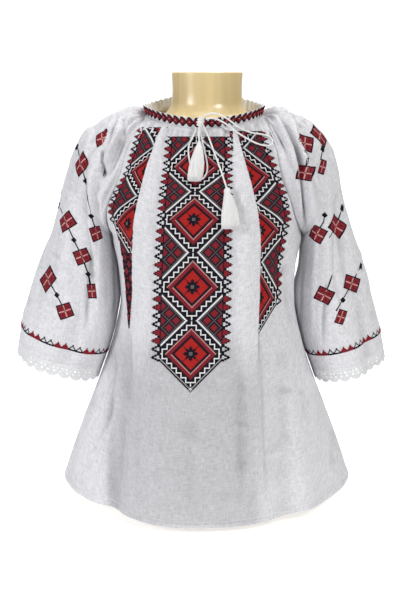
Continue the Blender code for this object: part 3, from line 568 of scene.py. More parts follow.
def makeKnot(plan):
    t = np.linspace(0, 1, plan["steps"])
    around = 2 * math.pi * plan["turns"] * t + plan["from"]
    tilt = plan["wobble"][0] * np.sin(around + plan["wobble"][1])
    path = knotPoints(plan, math.pi * (plan["span"][0] + plan["span"][1] * t) + tilt, around, 1.0)
    wrapMesh = tubeMesh("knotWraps", path, cordPlan["diameter"] / 2 * plan["wrap"], cordPlan["sides"],
                        cordPlan["lobes"], cordPlan["lobeHeight"], cordPlan["twist"])
    wraps = addPiece("knotWraps", wrapMesh, cordCotton)
    ball = knotPoints(plan, *ballAngles(*plan["coreGrid"]), plan["core"])
    core = addBall("knotCore", ball, plan["centre"], cordCotton)
    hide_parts("knot")
    return wraps, core


knotWraps, knotCore = makeKnot(knotPlan)


# tassels: a bound head and a skirt of fine threads that swell below it, then fall together
tasselPlans = {
    "tasselRight": {
        "node": "tassel_right", "head": (-0.0128, -0.1075, 0.6325), "headRadius": 0.0034, "seed": 7,
        "middle": (-0.0163, -0.1200, 0.6030), "middleHalf": 0.0108,
        "foot": (-0.0202, -0.1318, 0.5755), "footHalf": 0.0104, "ball": 0.85,
    },
    "tasselLeft": {
        "node": "tassel_left", "head": (0.0308, -0.1350, 0.5595), "headRadius": 0.0054, "seed": 11,
        "middle": (0.0345, -0.1440, 0.5320), "middleHalf": 0.0118,
        "foot": (0.0355, -0.1520, 0.5040), "footHalf": 0.0143, "ball": 1.0,
    },
}
tasselThread = {
    "count": 230, "radius": 0.00062, "sides": 4, "rings": 9, "depth": 0.0040, "ragged": 0.0022,
    "wave": 0.0006, "waves": 1.5, "waveAhead": 0.4,
    "rootReach": 0.78, "rootDrop": 0.2,         # where the threads start, as shares of the head's radius
    "uvLength": 0.06, "uvSide": 0.0006, "uvStep": 0.01,
}
tasselHead = {
    "rows": 14, "columns": 20, "margin": 0.03, "ribs": 8, "ribHeight": 0.05, "tall": 1.1,
    "bindTurns": 4, "bindRadius": 0.86, "bindFrom": 0.45, "bindDrop": 0.5, "bindThread": 0.0006, "bindSides": 8,
    "bindSteps": 150,
}


def makeTasselSkirt(name, plan, thread):
    # every thread runs from the head's underside through a point at the swell to one at the foot
    rng = np.random.default_rng(plan["seed"])
    count, rings, sides = thread["count"], thread["rings"], thread["sides"]
    index = np.arange(count)
    reach = np.sqrt((index + 0.5) / count)
    turn = index * math.pi * (3 - math.sqrt(5))
    cosine, sine = reach * np.cos(turn), reach * np.sin(turn)
    head, middle, foot = (np.array(plan[key]) for key in ("head", "middle", "foot"))
    root = head + stack(cosine, sine, 0) * plan["headRadius"] * thread["rootReach"]
    root = root - (0, 0, plan["headRadius"] * thread["rootDrop"])
    swell = middle + stack(cosine * plan["middleHalf"], sine * thread["depth"], 0)
    end = foot + stack(cosine * plan["footHalf"], sine * thread["depth"], 0)
    end[:, 2] += rng.uniform(-0.3, 1.0, count) * thread["ragged"]
    t = np.linspace(0, 1, rings)[None, :, None]
    # a curve through the three points, rounder towards the swell
    line = (root[:, None] * (1 - t) * (1 - 2 * t) + swell[:, None] * 4 * t * (1 - t)
            + end[:, None] * t * (2 * t - 1))
    phase = rng.uniform(0, 2 * math.pi, (count, 1))
    sway = thread["wave"] * np.sin(2 * math.pi * t[..., 0] * thread["waves"] + phase) * t[..., 0]
    line[..., 0] += sway
    line[..., 1] += sway * thread["waveAhead"]
    angle = np.linspace(0, 2 * math.pi, sides, endpoint=False)
    points = line[:, :, None] + stack(np.cos(angle), np.sin(angle), 0) * thread["radius"]
    base = np.arange(count * rings * sides).reshape(count, rings, sides)
    around = np.concatenate([base, base[..., :1]], axis=2)
    faces = np.stack([around[:, 1:, :-1], around[:, 1:, 1:], around[:, :-1, 1:], around[:, :-1, :-1]], axis=-1)
    faces = np.vstack([faces.reshape(-1, 4), base[:, -1][:, ::-1]])     # the sides, then an end on each thread
    run = np.broadcast_to(np.linspace(0, thread["uvLength"], rings)[None, :, None], base.shape)
    wide = np.arange(sides) * thread["uvSide"] + index[:, None, None] * thread["uvStep"] + 0 * base
    uv = np.stack([wide.ravel(), run.ravel()], axis=-1)[faces.ravel()]
    return addPiece(name, fillMesh(name, points.reshape(-1, 3), faces, 4, uv), cordCotton)


def makeTassel(name, plan, thread, shape):
    skirt = makeTasselSkirt(name, plan, thread)
    head = np.array(plan["head"])
    down, around = ballAngles(shape["rows"], shape["columns"], shape["margin"])
    radius = plan["headRadius"] * plan["ball"] * (1 + shape["ribHeight"] * np.cos(shape["ribs"] * around))
    ball = head + stack(radius * np.sin(down) * np.cos(around), radius * np.sin(down) * np.sin(around),
                        radius * np.cos(down) * shape["tall"])
    cap = addBall(name + "Head", ball, head, cordCotton)
    t = np.linspace(0, 1, shape["bindSteps"])
    turn = 2 * math.pi * shape["bindTurns"] * t
    reach = plan["headRadius"] * shape["bindRadius"]
    path = head + stack(reach * np.cos(turn), reach * np.sin(turn),
                        -plan["headRadius"] * (shape["bindFrom"] + shape["bindDrop"] * t))
    bindMesh = tubeMesh(name + "Binding", path, shape["bindThread"], shape["bindSides"])
    bind = addPiece(name + "Binding", bindMesh, cordCotton)
    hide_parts(plan["node"])
    return skirt, cap, bind


tassels = {name: makeTassel(name, plan, tasselThread, tasselHead) for name, plan in tasselPlans.items()}


print("knot and tassels tied")


# cloth: four panels that share the neckline and their seams
neckPlan = {"halfWidth": 0.096, "centreX": -0.005, "centreY": -0.010, "frontDepth": 0.080, "backDepth": 0.075,
            "frontZ": 0.653, "sideZ": 0.670, "backZ": 0.688}
raglanPlan = {
    "front": math.radians(76), "back": math.radians(50),    # where round the neck the seams start
    "underarm": 5,              # the station where they end
    "step": 0.0009,             # how far a sleeve sits over the body along them
    "stepFrom": 0.3, "stepFull": 3.4,
}
clothThickness = 0.0007
stations = {                    # closer rows under the neckline for the gathers and at the hem for the turn-up
    "body": [(0, 2, 40), (2, 11.82, 150), (11.83, 12, 20)],
    "arm": [(0, 2, 60), (2, 9.72, 130), (9.735, 10, 18)],
}

panelColumns = ("middleX", "middleZ", "middleY", "seamX", "seamY", "seamZ", "sweep", "flat")
sleeveColumns = ("topX", "topY", "topZ", "innerX", "innerY", "innerZ", "belly", "full")
frontPlan = {
    "rows": [
        (-0.005, 0.653, -0.0900, 0.0931, -0.0294, 0.6690, 76, 1.00),
        (-0.008, 0.623, -0.1028, 0.1160, -0.0590, 0.6310, 71, 1.05),
        (-0.011, 0.580, -0.1190, 0.1310, -0.0720, 0.5750, 68, 1.15),
        (-0.012, 0.538, -0.1320, 0.1520, -0.0590, 0.5230, 74, 1.20),
        (-0.006, 0.502, -0.1390, 0.1590, -0.0330, 0.4880, 82, 1.15),
        (0.0, 0.468, -0.1415, 0.1610, 0.0, 0.4680, 90, 1.10),
        (0.0, 0.415, -0.1420, 0.1520, 0.0, 0.4150, 90, 1.10),
        (0.0, 0.365, -0.1430, 0.1490, 0.0, 0.3650, 90, 1.10),
        (0.0, 0.300, -0.1470, 0.1610, 0.0, 0.3010, 90, 1.08),
        (0.0, 0.225, -0.1530, 0.1850, 0.0, 0.2280, 90, 1.05),
        (0.0, 0.150, -0.1610, 0.2130, 0.0, 0.1560, 90, 1.00),
        (0.0, 0.075, -0.1690, 0.2380, 0.0, 0.0900, 90, 0.95),
        (0.0, 0.009, -0.1760, 0.2570, 0.0, 0.0330, 90, 0.92),
    ],
    # soft folds: place across at the top and the bottom, width, height, first and last station
    "folds": [
        (-0.125, -0.195, 0.022, -0.0160, 6.6, 16.0),
        (-0.060, -0.085, 0.050, 0.0090, 7.0, 18.0),
        (0.110, 0.160, 0.030, -0.0070, 7.2, 17.0),
        (0.125, 0.225, 0.022, 0.0060, 7.4, 17.0),
    ],
    "gathers": 13, "columns": 228, "outward": (0, -1, 0), "ripple": {"seed": 3, "size": 0.055},
}
backPlan = {
    "rows": [
        (-0.005, 0.688, 0.0650, 0.0735, 0.0382, 0.6774, 50, 1.00),
        (-0.005, 0.655, 0.0900, 0.0960, 0.0600, 0.6400, 54, 1.05),
        (-0.005, 0.603, 0.1080, 0.1200, 0.0760, 0.5860, 62, 1.10),
        (-0.004, 0.550, 0.1150, 0.1400, 0.0680, 0.5320, 70, 1.15),
        (-0.002, 0.505, 0.1160, 0.1540, 0.0400, 0.4910, 80, 1.10),
        (0.0, 0.468, 0.1150, 0.1610, 0.0, 0.4680, 90, 1.05),
        (0.0, 0.415, 0.1130, 0.1520, 0.0, 0.4150, 90, 1.05),
        (0.0, 0.365, 0.1130, 0.1490, 0.0, 0.3650, 90, 1.05),
        (0.0, 0.300, 0.1210, 0.1610, 0.0, 0.3010, 90, 1.05),
        (0.0, 0.225, 0.1290, 0.1850, 0.0, 0.2280, 90, 1.00),
        (0.0, 0.150, 0.1380, 0.2130, 0.0, 0.1560, 90, 1.00),
        (0.0, 0.075, 0.1460, 0.2380, 0.0, 0.0900, 90, 0.95),
        (0.0, 0.009, 0.1520, 0.2570, 0.0, 0.0330, 90, 0.92),
    ],
    "folds": [
        (-0.060, -0.125, 0.024, -0.0120, 6.0, 16.0),
        (0.010, 0.005, 0.030, 0.0080, 5.0, 16.0),
        (0.070, 0.130, 0.026, -0.0120, 6.5, 17.0),
        (-0.035, -0.040, 0.014, 0.0040, 0.0, 4.5),
        (0.040, 0.045, 0.014, 0.0040, 0.0, 4.8),
    ],
    "gathers": 8, "columns": 126, "outward": (0, 1, 0), "ripple": {"seed": 4, "size": 0.055},
}
sleevePlans = {
    "right": {
        "turn": -1,
        "rows": [
            (0.096, -0.012, 0.670, 0, 0, 0, 0.002, 0.75),
            (0.124, 0.000, 0.6835, 0, 0, 0, 0.004, 0.75),
            (0.167, 0.003, 0.668, 0, 0, 0, 0.010, 0.80),
            (0.204, 0.006, 0.646, 0, 0, 0, 0.020, 0.85),
            (0.222, 0.008, 0.616, 0, 0, 0, 0.040, 0.95),
            (0.242, 0.008, 0.560, 0.161, 0.000, 0.468, 0.060, 1.0),
            (0.258, 0.008, 0.502, 0.1537, 0.004, 0.418, 0.065, 1.0),
            (0.279, 0.006, 0.446, 0.1504, 0.004, 0.370, 0.067, 1.0),
            (0.296, 0.004, 0.391, 0.1568, 0.003, 0.325, 0.069, 1.0),
            (0.312, 0.002, 0.338, 0.1672, 0.002, 0.283, 0.071, 1.0),
            (0.325, 0.000, 0.281, 0.1838, 0.001, 0.238, 0.073, 1.0),
        ],
        "folds": [
            (0.22, 0.16, 0.055, 0.0080, 0.1, 10.0),
            (0.12, 0.28, 0.040, -0.0065, 0.2, 14.0),
            (0.42, 0.40, 0.050, -0.0050, 0.0, 5.5),
            (0.62, 0.68, 0.050, 0.0060, 0.1, 7.0),
            (0.80, 0.74, 0.045, -0.0070, 0.2, 14.0),
            (0.50, 0.56, 0.060, 0.0060, 5.5, 14.0),
        ],
        "gathers": 9, "columns": 190, "ripple": {"seed": 6, "size": 0.05},
    },
    "left": {
        "turn": 1,
        "rows": [
            (0.096, -0.012, 0.670, 0, 0, 0, 0.002, 0.75),
            (0.118, 0.000, 0.6825, 0, 0, 0, 0.004, 0.75),
            (0.158, 0.003, 0.666, 0, 0, 0, 0.010, 0.80),
            (0.193, 0.006, 0.643, 0, 0, 0, 0.020, 0.85),
            (0.211, 0.008, 0.611, 0, 0, 0, 0.040, 0.95),
            (0.225, 0.008, 0.562, 0.161, 0.000, 0.468, 0.060, 1.0),
            (0.241, 0.008, 0.502, 0.1590, 0.004, 0.418, 0.065, 1.0),
            (0.259, 0.006, 0.442, 0.1508, 0.004, 0.372, 0.067, 1.0),
            (0.276, 0.004, 0.388, 0.1567, 0.003, 0.327, 0.068, 1.0),
            (0.292, 0.002, 0.336, 0.1673, 0.002, 0.283, 0.069, 1.0),
            (0.305, 0.000, 0.272, 0.1843, 0.001, 0.236, 0.070, 1.0),
        ],
        "folds": [
            (0.20, 0.14, 0.050, 0.0075, 0.1, 7.0),
            (0.33, 0.37, 0.045, -0.0100, 4.0, 14.0),
            (0.36, 0.30, 0.045, 0.0055, 0.0, 5.5),
            (0.64, 0.66, 0.050, 0.0060, 0.1, 7.0),
            (0.80, 0.76, 0.045, -0.0070, 0.2, 14.0),
            (0.46, 0.54, 0.050, 0.0050, 5.5, 14.0),
        ],
        "gathers": 9, "columns": 190, "ripple": {"seed": 5, "size": 0.05},
    },
}
foldShape = {"rise": 0.30, "fade": 0.25, "edge": 0.16}
gatherShape = {"height": 0.0028, "rise": 0.25, "end": 2.0}
creaseShape = {"rise": 0.25, "fade": 0.35}
pleatShape = {"overhang": 0.42, "lead": 0.10, "rise": 0.72, "drop": 0.0026, "leanFrom": 0.45, "leanOver": 0.5}
rippleShape = {"waves": 9, "height": 0.00035, "lengths": (0.7, 1.6)}
hemShape = {"width": 0.010, "height": 0.0006, "edge": 0.0012, "stitchIn": 0.0015, "groove": 0.0010, "deep": 1.2}


def tableOf(columns, rows):
    return dict(zip(columns, np.array(rows, float).T))


def neckline(angle):
    # an oval seen from above, lower at the front and higher at the back; the angle runs from the front
    facing = np.cos(angle)
    side = np.sin(angle) ** 2
    depth = np.where(facing > 0, neckPlan["frontDepth"], neckPlan["backDepth"])
    endZ = np.where(facing > 0, neckPlan["frontZ"], neckPlan["backZ"])
    return stack(neckPlan["centreX"] + neckPlan["halfWidth"] * np.sin(angle),
                 neckPlan["centreY"] - depth * facing, endZ + (neckPlan["sideZ"] - endZ) * side)


def panelBase(table, station, across):
    # x goes with the sine of the angle, y bends from the middle to the seam, z with the square of the share
    sweep = np.radians(splineRead(table["sweep"], station))
    angle = across * sweep
    share = np.sin(angle) / np.sin(sweep)
    bend = ((1 - np.cos(angle)) / (1 - np.cos(sweep))) ** splineRead(table["flat"], station)
    middleY, middleZ = splineRead(table["middleY"], station), splineRead(table["middleZ"], station)
    return stack(splineRead(table["middleX"], station) + splineRead(table["seamX"], station) * share,
                 middleY + (splineRead(table["seamY"], station) - middleY) * bend,
                 middleZ + (splineRead(table["seamZ"], station) - middleZ) * share ** 2)


frontTable = tableOf(panelColumns, frontPlan["rows"])
backTable = tableOf(panelColumns, backPlan["rows"])


def seamStep(station):
    return raglanPlan["step"] * smooth((station - raglanPlan["stepFrom"])
                                       / (raglanPlan["stepFull"] - raglanPlan["stepFrom"]))


def sleeveRaw(plan, station, around):
    # out from the seams or the underarm to the sleeve's top with the square of the sine, parted to both seams
    table = tableOf(sleeveColumns, plan["rows"])
    turn = plan["turn"]
    raglan = np.minimum(station, raglanPlan["underarm"])
    beside = stack(turn * seamStep(raglan), 0, 0)
    front = panelBase(frontTable, raglan, np.full_like(raglan, turn, dtype=float)) + beside
    back = panelBase(backTable, raglan, np.full_like(raglan, turn, dtype=float)) + beside
    below = stack(turn * splineRead(table["innerX"], station), splineRead(table["innerY"], station),
                  splineRead(table["innerZ"], station))
    inner = np.where((station <= raglanPlan["underarm"])[..., None], (front + back) / 2, below)
    top = stack(turn * splineRead(table["topX"], station), splineRead(table["topY"], station),
                splineRead(table["topZ"], station))
    rise = (np.sin(math.pi * around) ** 2 + 1e-12) ** splineRead(table["full"], station)
    points = inner + (top - inner) * rise[..., None] + (front - back) / 2 * np.cos(math.pi * around)[..., None]
    points[..., 1] -= splineRead(table["belly"], station) * np.sin(2 * math.pi * around)
    return points


def sleeveBase(plan, station, around):
    points = sleeveRaw(plan, station, around)
    start = sleeveRaw(plan, np.zeros_like(station), around)
    angle = raglanPlan["front"] + (math.pi - raglanPlan["back"] - raglanPlan["front"]) * around
    fade = np.clip(1 - station, 0, 1) ** 2
    return points + (neckline(plan["turn"] * angle) - start) * fade[..., None]


def evenAcross(base, station, columns, low, high):
    # places across that are even along the cloth
    fine = np.linspace(low, high, 240)
    points = base(station[:, None] + 0 * fine, fine + 0 * station[:, None])
    runs = [runAlong(row) for row in points]
    return np.array([np.interp(np.linspace(0, run[-1], columns), run, fine) for run in runs])


def softFolds(folds, station, across):
    # a bell across each fold, which rises and fades along it
    heights = np.zeros(np.broadcast(station, across).shape)
    for top, low, width, height, start, end in folds:
        along = (station - start) / (end - start)
        centre = top + (low - top) * np.clip(along, 0, 1)
        window = smooth(along / foldShape["rise"]) * smooth((1 - along) / foldShape["fade"])
        heights += height * window * np.exp(-((across - centre) / width) ** 2)
    return heights


def gathered(waves, station, share):
    window = smooth(station / gatherShape["rise"]) * smooth((gatherShape["end"] - station) / gatherShape["end"])
    wave = np.cos(2 * math.pi * waves * share)
    # each wave has a narrow crest and a wider trough, as drawn-up cloth has
    return gatherShape["height"] * window * (wave + 0.25 * np.cos(4 * math.pi * waves * share) - 0.1)


def creaseHeights(creases, x, z):
    # a soft ridge or trough along a bowed line from one point to another; its far side is steeper by 'crisp'
    heights = np.zeros(x.shape)
    for startX, startZ, endX, endZ, bow, width, height, crisp in creases:
        direction = np.array([endX - startX, endZ - startZ])
        length = np.linalg.norm(direction)
        direction = direction / length
        offX, offZ = x - startX, z - startZ
        t = (offX * direction[0] + offZ * direction[1]) / length
        away = offX * -direction[1] + offZ * direction[0] - bow * 4 * t * (1 - t)
        ends = smooth(t / creaseShape["rise"]) * smooth((1 - t) / creaseShape["fade"])
        spread = np.where(away * crisp > 0, width * (1 - abs(crisp)), width)
        heights += height * ends * np.exp(-(away / spread) ** 2)
    return heights


# the two white folds beside the middle embroidery: z, left edge, right edge, height; one side of each is crisp
pleatPlans = [
    {"crisp": -1, "rows": [
        (0.660, -0.0690, -0.0600, 0.0020), (0.640, -0.0765, -0.0625, 0.0050), (0.620, -0.0830, -0.0655, 0.0065),
        (0.590, -0.0930, -0.0705, 0.0075), (0.550, -0.1030, -0.0770, 0.0080), (0.514, -0.1110, -0.0825, 0.0085),
        (0.460, -0.1148, -0.0850, 0.0080), (0.400, -0.1168, -0.0875, 0.0070), (0.340, -0.1222, -0.0885, 0.0045),
        (0.290, -0.1290, -0.0890, 0.0020), (0.240, -0.1300, -0.0890, 0.0)]},
    {"crisp": 1, "rows": [
        (0.660, 0.0370, 0.0440, 0.0020), (0.640, 0.0375, 0.0470, 0.0050), (0.610, 0.0380, 0.0535, 0.0068),
        (0.570, 0.0385, 0.0640, 0.0078), (0.530, 0.0390, 0.0735, 0.0085), (0.490, 0.0395, 0.0785, 0.0085),
        (0.450, 0.0400, 0.0792, 0.0080), (0.400, 0.0400, 0.0794, 0.0070), (0.340, 0.0400, 0.0796, 0.0050),
        (0.290, 0.0405, 0.0800, 0.0025), (0.240, 0.0410, 0.0805, 0.0)]},
]


def pleatHeights(plans, x, z):
    # flat-topped: it rises softly from one edge and drops sharply at the other, over which it leans
    heights, lean = np.zeros(x.shape), np.zeros(x.shape)
    for plan in plans:
        rows = np.array(plan["rows"])[::-1]
        left, right, height = (np.interp(z, rows[:, 0], rows[:, k]) for k in (1, 2, 3))
        share = (x - left) / (right - left)
        share = share if plan["crisp"] > 0 else 1 - share
        drop = np.clip(pleatShape["drop"] / (right - left), 0, 0.3)
        one = height * smooth((share + pleatShape["lead"]) / pleatShape["rise"])
        one = one * smooth((1 - share) / drop + 0.5)
        over = smooth((share - pleatShape["leanFrom"]) / pleatShape["leanOver"])
        heights += one
        lean += plan["crisp"] * pleatShape["overhang"] * one * over
    return heights, lean


# creases: start x and z, end x and z, bow, width, height, which side is steeper
frontCreases = [
    (-0.160, 0.300, -0.205, 0.080, 0.010, 0.010, -0.0050, 0.5),
    (-0.176, 0.330, -0.232, 0.050, 0.006, 0.014, 0.0040, 0.0),
    (0.062, 0.300, 0.075, 0.060, 0.006, 0.016, 0.0035, -0.5),
    (0.040, 0.260, 0.050, 0.040, 0.004, 0.022, -0.0030, 0.0),
    (-0.020, 0.215, -0.030, 0.030, -0.004, 0.020, -0.0022, 0.3),
    (-0.075, 0.250, -0.100, 0.060, 0.006, 0.012, 0.0020, 0.4),
    (0.120, 0.380, 0.150, 0.150, 0.010, 0.012, 0.0028, 0.4),
    (0.135, 0.440, 0.095, 0.345, -0.006, 0.010, -0.0022, 0.3),
    (-0.140, 0.440, -0.110, 0.330, 0.005, 0.009, -0.0022, 0.3),
    (0.185, 0.270, 0.215, 0.080, 0.004, 0.010, 0.0030, 0.3),
    (-0.105, 0.205, -0.060, 0.150, 0.006, 0.007, 0.0010, 0.4),
    (-0.050, 0.160, 0.010, 0.142, -0.004, 0.006, 0.0009, 0.3),
    (0.030, 0.185, 0.085, 0.170, 0.004, 0.006, -0.0008, 0.3),
    (0.090, 0.120, 0.140, 0.135, -0.004, 0.006, 0.0010, 0.3),
    (-0.080, 0.110, -0.030, 0.098, 0.003, 0.006, -0.0009, 0.3),
    (-0.145, 0.175, -0.120, 0.110, 0.003, 0.006, 0.0012, 0.3),
    (0.120, 0.230, 0.165, 0.205, 0.004, 0.007, -0.0012, 0.3),
    (-0.020, 0.085, 0.050, 0.070, 0.004, 0.006, 0.0008, 0.2),
]
backCreases = [
    (-0.150, 0.310, -0.200, 0.070, 0.008, 0.012, -0.0040, 0.4),
    (0.150, 0.320, 0.205, 0.080, -0.008, 0.012, -0.0040, 0.4),
    (-0.040, 0.400, -0.075, 0.060, 0.006, 0.012, 0.0035, 0.4),
    (0.055, 0.380, 0.080, 0.070, 0.006, 0.014, 0.0035, -0.4),
    (-0.110, 0.560, -0.060, 0.430, 0.006, 0.009, 0.0025, 0.3),
    (0.110, 0.550, 0.070, 0.420, -0.006, 0.009, 0.0025, 0.3),
    (-0.020, 0.620, -0.030, 0.470, 0.004, 0.009, 0.0022, 0.3),
    (0.045, 0.630, 0.050, 0.500, 0.004, 0.008, 0.0020, 0.3),
    (-0.090, 0.470, -0.020, 0.455, 0.004, 0.007, -0.0016, 0.3),
    (0.020, 0.445, 0.090, 0.430, -0.004, 0.007, 0.0015, 0.3),
    (-0.100, 0.200, -0.050, 0.170, 0.004, 0.006, 0.0010, 0.3),
    (0.020, 0.210, 0.080, 0.190, 0.004, 0.006, 0.0010, 0.3),
    (-0.030, 0.120, 0.030, 0.110, 0.004, 0.006, -0.0010, 0.3),
    (0.110, 0.140, 0.160, 0.120, 0.004, 0.006, 0.0010, 0.3),
]
# on a sleeve the line runs in metres along the cloth: round from the front seam, and down from the neckline
sleeveCreases = {
    "right": [
        (0.030, 0.020, 0.060, 0.150, 0.006, 0.010, 0.0050, 0.45),
        (0.012, 0.040, 0.030, 0.200, 0.006, 0.007, 0.0035, 0.3),
        (0.052, 0.015, 0.105, 0.160, 0.005, 0.008, -0.0030, 0.3),
        (0.085, 0.120, 0.075, 0.420, -0.006, 0.010, -0.0035, 0.5),
        (0.055, 0.200, 0.045, 0.440, 0.005, 0.011, 0.0035, 0.3),
        (0.130, 0.240, 0.160, 0.400, 0.006, 0.012, 0.0022, 0.3),
        (0.200, 0.250, 0.215, 0.400, -0.004, 0.012, -0.0022, 0.3),
        (0.300, 0.060, 0.330, 0.300, -0.006, 0.012, 0.0040, 0.4),
        (0.340, 0.150, 0.350, 0.420, 0.006, 0.010, -0.0030, 0.4),
        (0.120, 0.330, 0.175, 0.355, 0.003, 0.006, 0.0010, 0.3),
        (0.060, 0.300, 0.110, 0.330, 0.003, 0.006, -0.0012, 0.3),
        (0.100, 0.395, 0.150, 0.405, 0.003, 0.005, 0.0008, 0.3),
    ],
    "left": [
        (0.025, 0.015, 0.050, 0.160, 0.006, 0.009, 0.0045, 0.4),
        (0.050, 0.015, 0.085, 0.180, 0.006, 0.009, 0.0042, 0.4),
        (0.080, 0.015, 0.120, 0.120, 0.005, 0.008, 0.0035, 0.4),
        (0.036, 0.020, 0.066, 0.170, 0.006, 0.006, -0.0030, 0.2),
        (0.045, 0.150, 0.040, 0.235, 0.004, 0.008, 0.0040, 0.4),
        (0.110, 0.230, 0.120, 0.420, 0.005, 0.010, -0.0028, 0.5),
        (0.060, 0.230, 0.055, 0.430, 0.005, 0.012, 0.0030, 0.3),
        (0.150, 0.340, 0.215, 0.330, 0.005, 0.006, 0.0014, 0.4),
        (0.130, 0.350, 0.180, 0.395, 0.004, 0.006, -0.0014, 0.4),
        (0.150, 0.345, 0.205, 0.372, 0.004, 0.005, 0.0012, 0.4),
        (0.300, 0.060, 0.330, 0.300, -0.006, 0.012, 0.0040, 0.4),
        (0.340, 0.150, 0.350, 0.420, 0.006, 0.010, -0.0030, 0.4),
        (0.210, 0.180, 0.230, 0.350, 0.004, 0.012, 0.0020, 0.3),
    ],
}


# creases in the camera's view: start across and down, end across and down, bow, width, height, steeper side
viewCreases = {
    "shoulders": [                              # these cross the raglan seams, so front and sleeves share them
        (120, 114, 106, 172, -4, 4.6, 0.0085, -0.45), (126, 117, 108, 180, -4, 2.6, -0.0060, 0.3),
        (104, 148, 104, 184, 0, 2.2, -0.0090, 0.0), (131, 117, 120, 150, 1, 2.6, 0.0022, 0.0),
        (115, 112, 104, 140, 1, 3.0, 0.0040, 0.4), (100, 113, 90, 130, 1, 2.4, -0.0026, 0.3),
        (122, 136, 109, 168, -1, 2.0, -0.0045, 0.0), (118, 112, 108, 150, 1, 2.0, -0.0044, 0.0),
        (108, 172, 98, 205, 1, 3.0, 0.0040, 0.3), (126, 114, 117, 140, 1, 2.0, -0.0030, 0.0),
        (268, 117, 288, 160, -2, 2.0, -0.0070, 0.2), (274, 115, 296, 166, -2, 2.8, 0.0064, 0.4),
        (279, 114, 302, 176, -3, 2.0, -0.0085, 0.2), (285, 113, 308, 186, -3, 3.2, 0.0068, 0.4),
        (291, 113, 301, 134, -1, 2.2, -0.0056, 0.2), (297, 114, 312, 136, -2, 2.8, 0.0040, 0.4),
        (262, 118, 272, 152, -1, 1.8, 0.0034, 0.0), (265, 120, 279, 150, -1, 2.0, -0.0040, 0.0),
    ],
    "front": [
        (297, 236, 300, 352, 7, 3.6, 0.0048, -0.5), (301, 240, 305, 340, 7, 3.0, -0.0030, 0.0),
        (108, 385, 106, 520, 2, 7, -0.0060, 0.3), (122, 380, 128, 525, -2, 9, 0.0040, 0.0),
        (256, 335, 263, 520, 2, 7, 0.0042, -0.5), (240, 350, 243, 515, 1, 6, -0.0030, 0.0),
        (196, 400, 190, 530, 3, 24, -0.0030, 0.0), (150, 345, 146, 500, 2, 8, 0.0026, 0.4),
        (296, 300, 318, 470, 4, 8, 0.0036, 0.4), (281, 330, 296, 480, 3, 7, -0.0030, 0.0),
        (92, 400, 78, 480, -2, 7, 0.0040, 0.3), (330, 420, 338, 478, 2, 6, -0.0030, 0.3),
        (175, 130, 173, 150, 0, 3, 0.0012, 0.3), (214, 128, 216, 150, 0, 3, 0.0014, 0.3),
        (117, 290, 112, 350, 1, 5, -0.0030, 0.3), (284, 240, 292, 330, 2, 5, -0.0024, 0.3),
    ],
    "right": [
        (101, 116, 88, 150, 1, 4.5, -0.0028, 0.3), (96, 150, 92, 215, 2, 5.0, 0.0036, 0.4),
        (112, 215, 114, 345, -1, 4.0, -0.0075, 0.3), (102, 225, 102, 345, 2, 6.0, 0.0060, 0.4),
        (91, 245, 86, 340, 1, 4.0, -0.0038, 0.4), (74, 180, 62, 330, 4, 8.0, 0.0034, 0.3),
        (55, 215, 38, 330, 3, 6.0, -0.0030, 0.3), (30, 300, 26, 350, 0, 5.0, 0.0025, 0.0),
        (80, 120, 64, 170, 3, 5.0, 0.0024, 0.3), (60, 190, 84, 199, 2, 3.0, 0.0012, 0.3),
        (48, 250, 72, 262, 2, 3.0, -0.0010, 0.3), (44, 300, 70, 322, 2, 3.0, 0.0011, 0.3),
    ],
    "left": [
        (293, 146, 305, 232, -3, 2.6, -0.0095, 0.3), (299, 150, 314, 228, -2, 4.5, 0.0070, 0.4),
        (300, 116, 322, 128, -2, 3.0, -0.0026, 0.3), (306, 118, 318, 148, -2, 3.2, 0.0030, 0.3),
        (306, 222, 301, 345, 1, 4.0, -0.0072, 0.3), (316, 235, 311, 350, 2, 5.5, 0.0062, 0.4),
        (327, 275, 323, 352, 1, 4.0, -0.0040, 0.4), (338, 180, 347, 262, 2, 5.0, -0.0030, 0.3),
        (350, 240, 362, 335, 3, 7.0, 0.0036, 0.3), (330, 140, 338, 190, 1, 5.0, 0.0026, 0.3),
        (338, 318, 356, 336, 2, 3.0, -0.0015, 0.3), (332, 330, 350, 346, 2, 3.0, 0.0016, 0.3),
        (368, 280, 376, 330, 1, 5.0, -0.0026, 0.3), (318, 196, 334, 200, 2, 3.0, 0.0012, 0.3),
    ],
}


def ripple(u, v, seed, size):
    # a low, uneven swell of the cloth: a few crossed waves of unlike lengths
    rng = np.random.default_rng(seed)
    total = np.zeros(u.shape)
    for _ in range(rippleShape["waves"]):
        angle = rng.uniform(0, math.pi)
        length = size * rng.uniform(*rippleShape["lengths"])
        phase = rng.uniform(0, 2 * math.pi)
        total += np.sin(2 * math.pi * (u * math.cos(angle) + v * math.sin(angle)) / length + phase)
    return total * rippleShape["height"] / 3


def meanAround(heights, reach):
    # each value's mean over its neighbours: running sums along both ways of the grid
    mean = heights
    for axis in (0, 1):
        pad = [(reach + 1, reach) if k == axis else (0, 0) for k in (0, 1)]
        total = np.cumsum(np.pad(mean, pad, mode="edge"), axis=axis)
        size = heights.shape[axis]
        far = np.take(total, np.arange(2 * reach + 1, 2 * reach + 1 + size), axis=axis)
        mean = (far - np.take(total, np.arange(size), axis=axis)) / (2 * reach + 1)
    return mean


